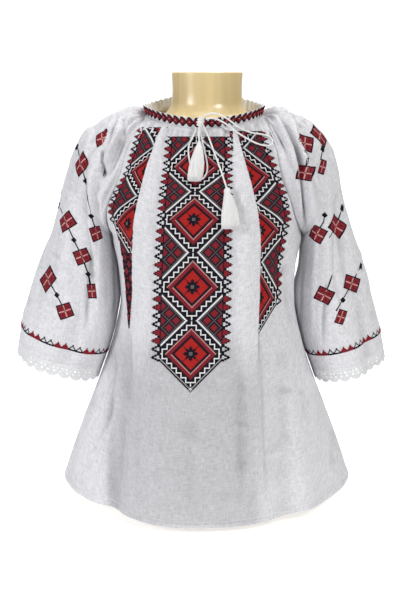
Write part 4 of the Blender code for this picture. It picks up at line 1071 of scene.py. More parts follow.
class Surface:
    # a finished grid of cloth, read at fractional rows and columns
    coarse, atOnce = 6, 4000                    # a search starts on every sixth point, for so many at once
    stepCount, longestStep = 14, 4
    smoothReach = 5

    def __init__(self, points, normals, uv, plain=None):
        self.points, self.normals, self.uv = points, normals, uv
        self.rows, self.columns = points.shape[:2]
        self.view = inView(points if plain is None else plain)  # without the pleats, so that no place is double
        self.viewDown, self.viewAcross = np.gradient(self.view, axis=(0, 1))
        self.uvDown, self.uvAcross = np.gradient(uv, axis=(0, 1))
        self.smoothed = np.stack([meanAround(points[..., k], self.smoothReach) for k in range(3)], axis=-1)
        self.smoothedSteps = np.gradient(self.smoothed, axis=(0, 1))

    def read(self, values, row, column):
        row = np.clip(row, 0, self.rows - 1.000001)             # just short of the last row and column
        column = np.clip(column, 0, self.columns - 1.000001)
        r, c = row.astype(int), column.astype(int)
        fr, fc = (row - r)[..., None], (column - c)[..., None]
        return (values[r, c] * (1 - fr) * (1 - fc) + values[r, c + 1] * (1 - fr) * fc
                + values[r + 1, c] * fr * (1 - fc) + values[r + 1, c + 1] * fr * fc)

    def lifted(self, row, column, lift):
        normals = unit(self.read(self.normals, row, column))
        return self.read(self.points, row, column) + normals * lift[..., None]

    def settle(self, fields, target, row, column, limits, least):
        # Newton steps on the grid until the field's value is the target
        values, downward, across = fields
        for _ in range(self.stepCount):
            miss = target - self.read(values, row, column)[..., :2]
            dr, dc = self.read(downward, row, column), self.read(across, row, column)
            det = dr[..., 0] * dc[..., 1] - dr[..., 1] * dc[..., 0]
            det = np.where(np.abs(det) < least, least, det)
            stepRow = (miss[..., 0] * dc[..., 1] - miss[..., 1] * dc[..., 0]) / det
            stepColumn = (dr[..., 0] * miss[..., 1] - dr[..., 1] * miss[..., 0]) / det
            row = np.clip(row + np.clip(stepRow, -self.longestStep, self.longestStep), 0, self.rows - 1)
            column = np.clip(column + np.clip(stepColumn, -self.longestStep, self.longestStep),
                             limits[0], limits[1] - 1)
        return row, column

    def find(self, x, y, columns=None):
        # from the nearest grid point to the place that the camera sees at x, y
        low, high = columns or (0, self.columns)
        shape, step = np.shape(x), self.coarse
        x, y = np.ravel(x).astype(float), np.ravel(y).astype(float)
        row, column = np.empty(len(x)), np.empty(len(x))
        near = self.view[::step, low:high:step]
        nearX, nearY = near[..., 0].ravel(), near[..., 1].ravel()
        width = near.shape[1]
        for start in range(0, len(x), self.atOnce):
            part = slice(start, start + self.atOnce)
            nearest = np.argmin((x[part, None] - nearX) ** 2 + (y[part, None] - nearY) ** 2, axis=1)
            row[part], column[part] = nearest // width * step, low + nearest % width * step
        fields = (self.view, self.viewDown, self.viewAcross)
        row, column = self.settle(fields, np.stack([x, y], axis=-1), row, column, (low, high), 1e-6)
        return row.reshape(shape), column.reshape(shape)

    def findOnCloth(self, uv, row, column):
        # from a place close by to the place at these metres along the cloth
        fields = (self.uv, self.uvDown, self.uvAcross)
        start = np.zeros(uv.shape[:-1])
        return self.settle(fields, uv, row + start, column + start, (0, self.columns), 1e-8)


def stationsOf(kind):
    return np.unique(np.concatenate([np.linspace(*part) for part in stations[kind]]))


def turnUp(points):
    # the doubled cloth of a hem: thicker for its last stretch, with a groove where it is stitched
    down = np.linalg.norm(np.diff(points, axis=0), axis=2)
    left = np.concatenate([np.cumsum(down[::-1], axis=0)[::-1], np.zeros((1, points.shape[1]))])
    width, height = hemShape["width"], hemShape["height"]
    groove = np.exp(-((left - width + hemShape["stitchIn"]) / hemShape["groove"]) ** 2)
    return height * smooth((width - left) / hemShape["edge"]) - height * hemShape["deep"] * groove


frontPlan.update({"pleats": pleatPlans, "creases": frontCreases, "seen": viewCreases["front"],
                  "seenOver": viewCreases["shoulders"]})
backPlan.update({"pleats": [], "creases": backCreases, "seen": [], "seenOver": []})
raised, relief = {}, {}


def panelSurface(name, table, plan):
    # the hung panel, and where it would hang without its pleats
    station = stationsOf("body")
    across = evenAcross(lambda s, a: panelBase(table, s, a), station, plan["columns"], -1, 1)
    rows = station[:, None] + 0 * across
    base = panelBase(table, rows, across)
    uv, view = clothUv(base), inView(base)
    pleats, lean = pleatHeights(plan["pleats"], base[..., 0], base[..., 2])
    heights = softFolds(plan["folds"], rows, base[..., 0])
    heights = heights + gathered(plan["gathers"], rows, np.linspace(0, 1, plan["columns"])) + pleats
    heights = heights + creaseHeights(plan["creases"], base[..., 0], base[..., 2])
    heights = heights + creaseHeights(plan["seen"], view[..., 0], view[..., 1])
    heights = heights + ripple(uv[..., 0], uv[..., 1], **plan["ripple"])
    heights = heights * smooth((1 - np.abs(across)) / foldShape["edge"])
    heights = heights + creaseHeights(plan["seenOver"], view[..., 0], view[..., 1])
    raised[name], relief[name] = pleats, heights
    heights = heights + turnUp(base)
    normals = gridNormals(base, plan["outward"])
    # each pleat rolls over towards its crisp side
    side = unit(np.gradient(base, axis=1)) * np.sign(base[:1, -1:, :1])
    return (base + normals * heights[..., None] + side * lean[..., None],
            base + normals * (heights - pleats)[..., None])


facingHalf = {"middle": 0.62, "over": 0.12}     # how far round a sleeve the camera sees


def sleeveSurfacePoints(side):
    plan = sleevePlans[side]
    station = stationsOf("arm")
    around = evenAcross(lambda s, a: sleeveBase(plan, s, a), station, plan["columns"], 0, 1)
    rows = station[:, None] + 0 * around
    base = sleeveBase(plan, rows, around)
    uv, view = clothUv(base), inView(base)
    u, v = uv[..., 0] - uv[:, :1, 0], uv[..., 1]
    facing = smooth((facingHalf["middle"] - around) / facingHalf["over"])
    heights = softFolds(plan["folds"], rows, around)
    heights = heights + gathered(plan["gathers"], rows, np.linspace(0, 1, plan["columns"]))
    heights = heights + creaseHeights(sleeveCreases[side], u, v)
    heights = heights + facing * creaseHeights(viewCreases[side], view[..., 0], view[..., 1])
    heights = heights + ripple(u, v, **plan["ripple"])
    heights = heights * smooth(np.minimum(around, 1 - around) / (foldShape["edge"] / 2))
    heights = heights + facing * creaseHeights(viewCreases["shoulders"], view[..., 0], view[..., 1])
    relief["sleeve" + side.capitalize()] = heights
    heights = heights + turnUp(base)
    away = gridNormals(base, (plan["turn"], 0, 0))
    # no fold is pushed over the body
    away[..., 0] = plan["turn"] * np.maximum(plan["turn"] * away[..., 0], 0)
    return base + away * heights[..., None], None


# painted light and shade for the cloth's colour
paintedShadePlan = {
    # painted light on the pleats, painted shade over the skirt's middle and in the hollows of creases
    "backAndSleeves": 0.97, "front": 0.92, "pleat": 0.05, "pleatHeight": 0.004, "paintedSkirtShade": 0.21,
    "hollow": 0.42, "creaseShadeDepth": 0.0020, "reach": 3,
    # the painted shade over the middle of the skirt as the camera sees it: where each edge is, and over how far
    # it fades
    "left": (96, 30), "right": (266, 14), "top": (326, 30), "bottom": (530, 8),
}


def paintedShadeAt(name, points):
    # how light the cloth is painted: the pleats lighter, as doubled cloth and as painted light on the raised
    # folds; painted shade over the middle of the skirt and in each crease's hollow
    plan = paintedShadePlan
    # painted shade in the hollows of the creases, where the cloth lies below its neighbours
    below = (meanAround(relief[name], plan["reach"]) - relief[name]) / plan["creaseShadeDepth"]
    hollow = np.clip(below, 0, 1) * plan["hollow"]
    if name != "frontPanel":
        return plan["backAndSleeves"] - hollow
    x, y, _ = np.moveaxis(inView(points), -1, 0)
    (left, leftOver), (right, rightOver) = plan["left"], plan["right"]
    (top, topOver), (bottom, bottomOver) = plan["top"], plan["bottom"]
    # painted shade over the middle of the skirt, a soft box in the camera's view
    paintedSkirtShade = (smooth((x - left) / leftOver) * smooth((right - x) / rightOver)
              * smooth((y - top) / topOver) * smooth((bottom - y) / bottomOver))
    # the pleats painted lighter
    pleat = np.clip(raised[name] / plan["pleatHeight"], 0, 1)
    return (plan["front"] + plan["pleat"] * pleat - plan["paintedSkirtShade"] * paintedSkirtShade * (1 - pleat)) * (1 - hollow)


def makeCloth(name, node, shape, outward):
    points, plain = shape
    normals = gridNormals(points, outward)
    uv = clothUv(points)
    mesh = gridMesh(name, points, normals, uv)
    # the layers attribute holds the painted light and shade for the cotton's colour
    layers = mesh.attributes.new("layers", "FLOAT", "POINT")
    layers.data.foreach_set("value", paintedShadeAt(name, points).ravel().astype(np.float32))
    piece = addPiece(name, mesh, cotton)
    thicken(piece, clothThickness)
    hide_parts(node)
    return piece, Surface(points, normals, uv, plain)


surfaces, clothPieces = {}, {}
for name, node, shape, outward in (
    ("frontPanel", "front", panelSurface("frontPanel", frontTable, frontPlan), (0, -1, 0)),
    ("backPanel", "back", panelSurface("backPanel", backTable, backPlan), (0, 1, 0)),
    ("sleeveRight", "sleeve_right", sleeveSurfacePoints("right"), (-1, 0, 0)),
    ("sleeveLeft", "sleeve_left", sleeveSurfacePoints("left"), (1, 0, 0)),
):
    clothPieces[name], surfaces[name] = makeCloth(name, node, shape, outward)
print("cloth cut and hung")


# embroidery: one small raised pillow for each stitch, laid on the cloth's own points
stitchShape = {"foot": 0.00058, "top": 0.00100}
pillowSides = [(0, 1, 4), (1, 2, 4), (2, 3, 4), (3, 0, 4)]
pillowUv = [(0, 0), (1, 0), (1, 1), (0, 1), (0.5, 0.5)]


def stitchMesh(name, surface, row, column, codes):
    # four corners a cell on the cloth and one raised middle; row and column hold the corners of all cells
    picked = codes > 0
    allRow, allColumn = (np.concatenate([quadCorners(one)[picked], quadMiddles(one)[picked][:, None]], axis=1)
                         for one in (row, column))
    lift = np.full(allRow.shape, stitchShape["foot"])
    lift[:, 4] = stitchShape["top"]
    points = surface.lifted(allRow, allColumn, lift).reshape(-1, 3)
    triangles = np.arange(len(allRow))[:, None, None] * 5 + np.array(pillowSides)
    sample = np.cross(points[triangles[:, 0, 1]] - points[triangles[:, 0, 0]],
                      points[triangles[:, 0, 2]] - points[triangles[:, 0, 0]])
    outward = surface.read(surface.normals, allRow[:, 4], allColumn[:, 4])
    if (sample * outward).sum() < 0:
        triangles = triangles[..., ::-1]
    j, i = np.nonzero(picked)
    uv = (np.stack([i, j], axis=-1)[:, None] + np.array(pillowUv)).reshape(-1, 2)[triangles.ravel()]
    return fillMesh(name, points, triangles, 3, uv, np.repeat(codes[picked] - 1, 4))


def addStitches(name, surface, row, column, codes, carrier):
    piece = addPiece(name, stitchMesh(name, surface, row, column, codes), *threads)
    embroidery.setdefault(carrier, []).append(piece)


embroidery = {}
chartPlan = {
    "period": 56, "half": 28, "border": 26, "tooth": 7, "toothPitch": 7, "toothBase": 3.5,
    "field": 13, "frame": 16, "band": 21, "stairs": (24, 28, 4), "whiteLine": (32, 33),
    "lattice": 12, "jewel": 3, "latticeCentre": 1, "edge": 33,
    "hollowRim": 2.0, "filledRim": 0.8,         # how wide the dark edge of a tooth is
    "point": 29, "outline": 32,                 # how far below the last centre the chart and its outline go
}


def rhombusChart(i, j, plan, lastCentre=None):
    # the distance from the nearest rhombus centre, counted in stitches, picks each ring's thread
    period, half = plan["period"], plan["half"]
    signed = (j + half) % period - half
    di, dj = np.abs(i) + 0 * j, np.abs(signed) + 0 * i
    d = di + dj
    most, least = np.maximum(di, dj), np.minimum(di, dj)
    code = np.full(d.shape, black)
    # the red field, quartered by thin lines, with an eight-armed star
    code = np.where(d <= plan["field"], red, code)
    code = np.where((d <= plan["field"]) & (di == dj), black, code)
    axisArm = ((least == 0) & (most <= 6)) | ((least == 1) & (most >= 3) & (most <= 5))
    slantArm = (most - least <= 1) & (most >= 2) & (most <= 4)
    code = np.where(axisArm | slantArm | (d == 3), black, code)
    code = np.where(most <= 1, grey, code)
    band = (d > plan["frame"]) & (d <= plan["band"])
    code = np.where(band, crimson, code)
    lower = signed + 0 * i > 0
    code = np.where(band & ((lower & (d == plan["frame"] + 1)) | (~lower & (d == plan["band"]))), rose, code)
    # a stepped line: treads and risers on every fourth row and column
    first, last, tread = plan["stairs"]
    stairs = (d >= first) & (d <= last) & ((di % tread == 0) | (dj % tread == 0)) & (dj < half)
    code = np.where(stairs, pale, code)
    code = np.where((d >= plan["whiteLine"][0]) & (d <= plan["whiteLine"][1]), pale, code)
    # jewels in the triangles, with a fine line between each two
    fromCross = np.where(signed > 0, signed - half, signed + half) + 0 * i
    pitch, middle = plan["lattice"], plan["lattice"] // 2
    a = np.abs((di + fromCross - plan["latticeCentre"] + middle) % pitch - middle)
    b = np.abs((di - fromCross - plan["latticeCentre"] + middle) % pitch - middle)
    jewel = (a <= plan["jewel"]) & (b <= plan["jewel"])
    fine = ((a == middle) | (b == middle)) & (d > plan["whiteLine"][1] + 1)
    code = np.where(d > plan["whiteLine"][1], np.where(jewel, crimson, np.where(fine, grey, black)), code)
    # border line, then teeth outside it
    code = np.where(di == plan["border"], black, code)
    out = di - plan["border"]
    phase = (j % plan["toothPitch"]) + 0 * i
    fromTip = np.abs(phase - (plan["toothPitch"] - 1) / 2)
    reach = plan["toothBase"] * (1 - (out - 1) / plan["tooth"])
    inside = (out > 0) & (out <= plan["tooth"]) & (fromTip <= reach)
    number = np.floor(j / plan["toothPitch"]).astype(int) % 4 + 0 * i
    hollow = (number == 3) | (number == 0)
    tooth = np.where(hollow, np.where(fromTip <= reach - plan["hollowRim"], 0, black),
                     np.where(fromTip <= reach - plan["filledRim"], crimson, black))
    code = np.where(out > 0, np.where(inside, tooth, 0), code)
    if lastCentre is not None:
        # below the last centre the panel comes to a point, inside a thin outline
        depth = di + (j - lastCentre)
        line = (depth > plan["point"] + 1) & (depth <= plan["outline"])
        line &= (depth > plan["point"] + 2) | (di > 1)
        pointed = np.where(depth <= plan["point"], code, np.where(line, black, 0))
        teeth = (out > 0) & (j < lastCentre + plan["toothPitch"])
        code = np.where((j > lastCentre) & ~teeth, pointed, code)
        code = np.where(j > lastCentre + plan["outline"], 0, code)
    return code


# the middle panel in the camera's view: pattern row, down, across at the axis and at both rows of tooth tips
middlePanel = {
    "rows": [
        (-31, 136.6, 196.6, 165.6, 232.8), (-28, 139.2, 196.5, 165.0, 232.9),
        (0, 167.0, 195.7, 162.5, 233.4), (28, 191.6, 195.0, 158.4, 233.3),
        (56, 219.2, 193.6, 156.4, 232.8), (84, 252.5, 193.1, 154.2, 232.6),
        (112, 286.9, 192.4, 152.8, 232.3), (140, 320.6, 191.7, 151.8, 231.4),
        (168, 353.8, 190.7, 151.0, 230.2), (201, 393.2, 190.4, 150.6, 229.6),
    ],
    "top": -31, "bottom": 201, "lastCentre": 168,
}


def layMiddlePanel(plan):
    table = np.array(plan["rows"], float)
    j = np.arange(plan["top"], plan["bottom"] + 1)
    edge = chartPlan["edge"]
    i = np.arange(-edge, edge + 2)
    jEdge, iEdge = j - 0.5, i - 0.5
    down, axis, left, right = (np.interp(jEdge, table[:, 0], table[:, k])[:, None] for k in (1, 2, 3, 4))
    x = axis + iEdge[None, :] / (edge + 0.5) * np.where(iEdge[None, :] < 0, axis - left, right - axis)
    surface = surfaces["frontPanel"]
    row, column = surface.find(x, down + 0 * x)
    codes = rhombusChart(i[None, :-1], j[:-1, None], chartPlan, plan["lastCentre"])
    codes[0] = np.where(codes[0] > 0, black, 0)         # the top row ends in a black edge
    addStitches("middleEmbroidery", surface, row, column, codes, "frontPanel")


layMiddlePanel(middlePanel)

# the side panels in the camera's view: pattern row, down, across at the axis, at the tooth tips, and where the
# white fold hides the rest
sidePanels = {
    "sideEmbroideryRight": {
        "rows": [
            (-50, 127.0, 170.0, 137.0, 168.0), (-28, 146.5, 158.0, 131.5, 160.0),
            (0, 171.0, 145.5, 124.6, 152.0), (14, 183.5, 143.5, 118.0, 147.0),
            (28, 196.0, 141.0, 109.8, 143.0), (42, 209.0, 134.0, 107.2, 139.0),
            (56, 223.3, 126.6, 111.0, 137.0), (70, 240.0, 130.6, 115.6, 136.0),
            (84, 257.0, 134.5, 117.2, 135.0), (112, 290.0, 139.0, 120.5, 132.6),
            (152, 331.0, 142.0, 124.9, 129.6)],
        "top": -49, "bottom": 150, "side": -1, "innerCell": 0.72, "tuck": 0.0,
        "cut": 56, "jewelsFrom": 80, "blackFrom": 148,      # the border turns under the arm, jewels run on down
        "strip": [(240, 119.6), (262, 123.0), (280, 125.0), (297.5, 126.4), (317, 127.8), (331, 128.9)],
    },
    "sideEmbroideryLeft": {
        "rows": [
            (-50, 130.0, 236.0, 264.6, 235.8), (-28, 148.0, 239.5, 270.8, 238.8),
            (0, 176.0, 247.5, 281.5, 245.5), (28, 203.0, 252.0, 291.0, 251.8),
            (42, 216.5, 257.5, 292.6, 254.0), (56, 230.0, 260.5, 288.4, 256.8),
            (84, 262.0, 258.6, 282.6, 256.8), (112, 297.5, 259.5, 281.4, 256.8),
            (130, 318.0, 259.0, 280.0, 256.8), (150, 340.0, 258.5, 279.0, 256.8)],
        "top": -48, "bottom": 150, "side": 1, "innerCell": 0.85, "tuck": 7.0, "lastCentre": 112,
    },
}


sideLimits = {"inner": 12, "pleat": 0.0012, "miss": 0.5, "drawnOut": 0.0050, "seam": (2.2, 3.2)}


def underArm(codes, plan, low, out, down, middle):
    # the chart below the cut: no teeth, rows of jewels, then black, as far as the edge of the strip
    half = chartPlan["lattice"] // 2
    a, b = np.abs((out + low) % (2 * half) - half), np.abs((out - low) % (2 * half) - half)
    jewels = np.where((a <= chartPlan["jewel"]) & (b <= chartPlan["jewel"]), crimson,
                      np.where((a == half) & (b == half), grey, black))
    jewels = np.where(low > plan["blackFrom"], black, jewels)
    codes = np.where((low > plan["jewelsFrom"]) & (out <= chartPlan["border"]), jewels, codes)
    codes = np.where((low > plan["cut"]) & (out > chartPlan["border"]), 0, codes)
    stripDown, stripEdge = np.array(plan["strip"]).T
    return np.where((down > stripDown[0]) & (middle < np.interp(down, stripDown, stripEdge)), 0, codes)


def laySidePanel(name, plan):
    table = np.array(plan["rows"], float)
    j = np.arange(plan["top"], plan["bottom"] + 1)
    edge, side = chartPlan["edge"], plan["side"]
    i = np.arange(-sideLimits["inner"], edge + 2)       # outwards is positive
    jEdge, iEdge = j - 0.5, (i - 0.5)[None, :]
    down, axis, outer, hidden = (np.interp(jEdge, table[:, 0], table[:, k])[:, None] for k in (1, 2, 3, 4))
    x = axis + np.where(iEdge >= 0, iEdge / (edge + 0.5) * (outer - axis), side * iEdge * plan["innerCell"])
    surface = surfaces["frontPanel"]
    row, column = surface.find(x, down + 0 * x)
    codes = rhombusChart(i[None, :-1], j[:-1, None], chartPlan, plan.get("lastCentre"))
    middle = (x[:-1, :-1] + x[1:, 1:]) / 2
    if "cut" in plan:
        codes = underArm(codes, plan, j[:-1, None], i[None, :-1], down[:-1], middle)
    codes = np.where((middle - hidden[:-1]) * side < -plan["tuck"], 0, codes)
    codes[0] = np.where(codes[0] > 0, black, 0)         # the top row ends in a black edge
    # no stitch on the white pleat, at the side seam, or drawn out over it
    low, left = row[:-1, :-1], column[:-1, :-1]
    onPleat = surface.read(raised["frontPanel"][..., None], low, left)[..., 0] > sideLimits["pleat"]
    seen, placed = surface.read(surface.view, row, column), surface.read(surface.points, row, column)
    found = quadCorners(np.hypot(seen[..., 0] - x, seen[..., 1] - down) < sideLimits["miss"]).all(axis=2)
    whole = np.linalg.norm(placed[1:, 1:] - placed[:-1, :-1], axis=-1) < sideLimits["drawnOut"]
    inside = (left > sideLimits["seam"][0]) & (left < surface.columns - sideLimits["seam"][1])
    addStitches(name, surface, row, column, np.where(inside & ~onPleat & found & whole, codes, 0), "frontPanel")


for name, plan in sidePanels.items():
    laySidePanel(name, plan)
print("front embroidered")


# sleeve motifs: squares of four small squares, on thin black lines with beads, placed in the camera's view
motifPlan = {
    "cells": 13, "halfSize": 7.4, "slack": 0.05,
    "bead": 3, "beadTurn": 45, "beadHalf": (2.0, 2.2),
    "perPixelAcross": (0.0015, 0.0026), "perPixelDown": (0.0015, 0.0021),   # on the cloth, least and most
    "string": 0.0012, "stringStep": 0.9, "stringBreak": 0.0030,
    "facing": 0.6,                              # the share of a sleeve that the camera sees
}
motifCentres = {
    # across, down, turn in degrees, width share, and for some the line of the fold that hides a corner
    "right": [
        (102.3, 138.5, 12, 1.0, 109.5, 127, 101.8, 147.6), (80.6, 164, 18, 0.85),
        (66, 222, 22, 1.0), (82, 256.5, 22, 1.0), (96.5, 233, 16, 0.70), (92, 291, 6, 0.60),
        (48, 279, 22, 1.0), (65, 311, 20, 1.0),
    ],
    "left": [
        (319.6, 136.0, -10, 0.95), (304.6, 143.5, -4, 1.0, 305.6, 150.4, 296.6, 136.6),
        (305.5, 173, -10, 1.1), (322.5, 167, -16, 0.45), (335.5, 226.5, -16, 1.0), (317, 234, -26, 1.0),
        (324, 295, -26, 1.05), (351.5, 283.5, -18, 1.0), (341, 317, -20, 0.6),
    ],
}
motifStrings = {
    # runs of a line from place to place, and the beads on them
    "right": {
        "lines": [[(76.5, 141), (79, 153), (81, 164), (86, 182), (88, 200), (93, 222), (96.5, 233)],
                  [(56, 196), (59.5, 205.5), (66, 222), (74, 240), (82, 256.5), (88, 274), (92, 291)],
                  [(40, 264), (48, 279), (57, 295), (65, 311)],
                  [(103, 176), (106, 166)]],
        "beads": [(77, 147), (59.5, 205.5), (86, 181), (74, 240), (88, 274), (57, 295), (91.2, 216)],
    },
    "left": {
        "lines": [[(326, 122), (322.5, 140), (322.5, 149), (320.5, 160)],
                  [(304.5, 150), (308.5, 157), (306, 166)],
                  [(344.5, 200), (340, 214), (335.5, 226.5), (329, 238)],
                  [(325, 212), (323.5, 222), (316, 234)],
                  [(364, 258), (358.5, 270), (351.5, 283.5), (343, 299), (336, 311)],
                  [(332, 275), (328.5, 286), (324, 295)]],
        "beads": [(322.5, 149), (342, 208), (324.5, 215), (360.5, 266), (342.8, 300)],
    },
}


def motifChart(n):
    # a black frame, rose lines that part four crimson squares, and a black stitch in each and where they cross
    i, j = np.meshgrid(np.arange(n), np.arange(n))
    a, b = np.minimum(i, n - 1 - i), np.minimum(j, n - 1 - j)
    code = np.where((a == n // 2) | (b == n // 2), rose, crimson)
    dots = ((a == n // 2) & (b == n // 2)) | ((a == 3) & (b == 3))
    return np.where(dots | (a == 0) | (b == 0), black, code)


def layPatch(surface, centre, turn, cells, halves, columns):
    # a square of stitches, placed, turned and sized in the camera's view, then laid flat on the plane that
    # touches the smoothed cloth there, so it keeps its shape from any side
    angle = math.radians(turn)
    row, column = surface.find(np.array([centre[0]]), np.array([centre[1]]), columns)
    steps = np.stack([surface.read(step, row, column)[0] for step in surface.smoothedSteps], axis=1)
    seen = np.stack([surface.read(step, row, column)[0, :2] for step in (surface.viewDown, surface.viewAcross)],
                    axis=1)
    toCloth = steps @ np.linalg.pinv(seen, rcond=motifPlan["slack"])
    along = toCloth @ np.array([math.sin(angle), math.cos(angle)])
    side = toCloth @ np.array([math.cos(angle), -math.sin(angle)])
    square = unit(np.cross(np.cross(steps[:, 0], steps[:, 1]), along))
    square = square * np.sign(square @ side)
    middle = surface.read(surface.smoothed, row, column)[0]
    plane = (surface.smoothed - middle) @ np.stack([square, unit(along)], axis=1)
    perPixel = (np.clip(np.linalg.norm(side), *motifPlan["perPixelAcross"]),
                np.clip(np.linalg.norm(along), *motifPlan["perPixelDown"]))
    a, b = (np.linspace(-half, half, cells + 1) * size for half, size in zip(halves, perPixel))
    target = np.stack(np.broadcast_arrays(a[None, :], b[:, None]), axis=-1)
    start = np.zeros(target.shape[:-1])
    fields = (plane, *np.gradient(plane, axis=(0, 1)))
    return surface.settle(fields, target, row[0] + start, column[0] + start, (0, surface.columns), 1e-8)


def layRun(surface, places, columns):
    # a strip one stitch wide along a line of places, and which of its stitches aren't drawn out at a turn
    places = np.array(places, float)
    run = runAlong(places)
    even = np.linspace(0, run[-1], max(3, int(run[-1] / motifPlan["stringStep"])))
    row, column = surface.find(*(np.interp(even, run, places[:, axis]) for axis in (0, 1)), columns)
    path = surface.read(surface.uv, row, column)
    direction = unit(np.gradient(path, axis=0))
    across = np.stack([-direction[:, 1], direction[:, 0]], axis=1) * motifPlan["string"]
    corners = np.stack([path - across, path + across], axis=1)
    steady = np.linalg.norm(np.diff(path, axis=0), axis=1) < motifPlan["stringBreak"]
    return surface.findOnCloth(corners, row[:, None], column[:, None]), steady


def layMotifs(side, wearer):
    surface, label = surfaces[wearer], side.capitalize()
    cells, halfSize, bead = motifPlan["cells"], motifPlan["halfSize"], motifPlan["bead"]
    facing = (0, int(surface.columns * motifPlan["facing"]))
    for number, (x, y, turn, wide, *cut) in enumerate(motifCentres[side], 1):
        row, column = layPatch(surface, (x, y), turn, cells, (halfSize * wide, halfSize), facing)
        codes = motifChart(cells)
        if cut:
            seen = surface.read(surface.view, row, column)[..., :2]
            away = (seen[:-1, :-1] + seen[1:, 1:]) / 2 - cut[:2]
            codes = np.where(away[..., 0] * (cut[3] - cut[1]) > away[..., 1] * (cut[2] - cut[0]), 0, codes)
        addStitches(f"motif{label}{number}", surface, row, column, codes, wearer)
    for number, places in enumerate(motifStrings[side]["lines"], 1):
        (row, column), steady = layRun(surface, places, facing)
        addStitches(f"string{label}{number}", surface, row, column, np.where(steady, black, 0)[:, None], wearer)
    for number, place in enumerate(motifStrings[side]["beads"], 1):
        row, column = layPatch(surface, place, motifPlan["beadTurn"], bead, motifPlan["beadHalf"], facing)
        addStitches(f"bead{label}{number}", surface, row, column, np.full((bead, bead), black), wearer)


layMotifs("right", "sleeveRight")
layMotifs("left", "sleeveLeft")


# cuff borders: triangles in turn two crimson and two hollow, over a line of the same thread
cuffPlan = {"teeth": 36, "pitch": 10, "height": 6, "cell": 0.00135, "fromEnd": 0.0300, "line": 2,
            "trim": 0.2, "rim": 2.4}
seamPlan = {"fromEnd": 0.0105, "width": 0.0007, "stitches": {"body": 200, "arm": 150}}
bandEnds = (0.004, 0.996)                       # a band stops just short of the seams


def rowsFromEnd(surface, far):
    # the fractional row that is each distance from the cloth's end, in metres down each column
    left = surface.uv[-1, :, 1] - surface.uv[:, :, 1]
    first = np.clip((left[None] > far[:, None, None]).sum(axis=1) - 1, 0, surface.rows - 2)
    above = np.take_along_axis(left, first, axis=0)
    below = np.take_along_axis(left, first + 1, axis=0)
    return first + (above - far[:, None]) / (above - below)


def layBand(surface, cells, far):
    # corners of the stitches of a band across a piece, its rows at these distances from the end
    column = np.linspace(*bandEnds, cells + 1) * (surface.columns - 1)
    row = rowsFromEnd(surface, far)[:, np.round(column).astype(int)]
    return row, np.broadcast_to(column, row.shape)


def layCuff(name):
    # teeth that widen by rows from tip to base, then the line
    surface = surfaces[name]
    height, pitch = cuffPlan["height"], cuffPlan["pitch"]
    width, layers = cuffPlan["teeth"] * pitch, height + cuffPlan["line"]
    far = cuffPlan["fromEnd"] + cuffPlan["cell"] * (height - np.arange(layers + 1))
    row, column = layBand(surface, width, far)
    i, j = np.meshgrid(np.arange(width), np.arange(layers))
    fromTip = np.abs(i % pitch - (pitch - 1) / 2)
    half = (j + 1) * (pitch / 2) / height
    filled = (i // pitch) % 4 < 2
    codes = np.where(filled, crimson, np.where((fromTip > half - cuffPlan["rim"]) | (j >= height), black, 0))
    codes = np.where((j < height) & (fromTip > half - cuffPlan["trim"]), 0, codes)
    addStitches(name.replace("sleeve", "cuffBorder"), surface, row, column, codes, name)


def laySeam(name, count):
    # a row of short white machine stitches along a turned-up end: two cells of thread, then a gap
    surface, cells = surfaces[name], count * 3
    row, column = layBand(surface, cells, seamPlan["fromEnd"] + np.array([seamPlan["width"], 0.0]))
    addStitches(name + "Seam", surface, row, column, np.where(np.arange(cells) % 3 < 2, pale, 0)[None, :], name)


for name in ("sleeveRight", "sleeveLeft"):
    layCuff(name)
    laySeam(name, seamPlan["stitches"]["arm"])
for name in ("frontPanel", "backPanel"):
    laySeam(name, seamPlan["stitches"]["body"])
print("sleeves embroidered")


# neck frill: a gathered strip round the neckline with a row of embroidered diamonds on its waves
frillPlan = {
    "waves": 52, "height": 0.0150, "waveHeight": 0.0022, "lean": 0.0030, "foot": 0.0022, "inset": 0.0006,
    "footWave": 0.15,                           # the share of the waves' height that the foot has
    "perWave": 12, "rows": 13, "notch": 0.0016, "tuck": 0.0052, "thickness": 0.0006, "flat": (0.74, 0.016),
    "diamond": {"black": 7.6, "crimson": 4.6, "rose": 0.9},
}


def frillPoints(angle, rise):
    # the neckline lifted by the rise, leaning out and waved more towards the free edge
    share = rise / frillPlan["height"]
    foot = neckline(angle)
    out = unit(stack(foot[..., 0] - neckPlan["centreX"], foot[..., 1] - neckPlan["centreY"], 0))
    waved = frillPlan["footWave"] + (1 - frillPlan["footWave"]) * share
    away = (frillPlan["lean"] * share - frillPlan["inset"]
            + frillPlan["waveHeight"] * waved * np.cos(frillPlan["waves"] * angle))
    return foot + out * away[..., None] + stack(0, 0, frillPlan["foot"] + rise)


def diamondChart(columns, rows, wide, sizes):
    # one diamond a wave: half a wave wide and most of the strip tall
    i, j = np.meshgrid(np.arange(columns), np.arange(rows))
    fromMiddle = np.abs((i + wide / 2) % wide - wide / 2 + 0.5)
    fromCentre = np.abs(j - (rows - 1) / 2)
    d = fromMiddle + fromCentre * (wide / 2) / (rows / 2)
    codes = np.where(d <= sizes["black"], black, 0)
    codes = np.where(d <= sizes["crimson"], crimson, codes)
    return np.where(d <= sizes["rose"], rose, codes)


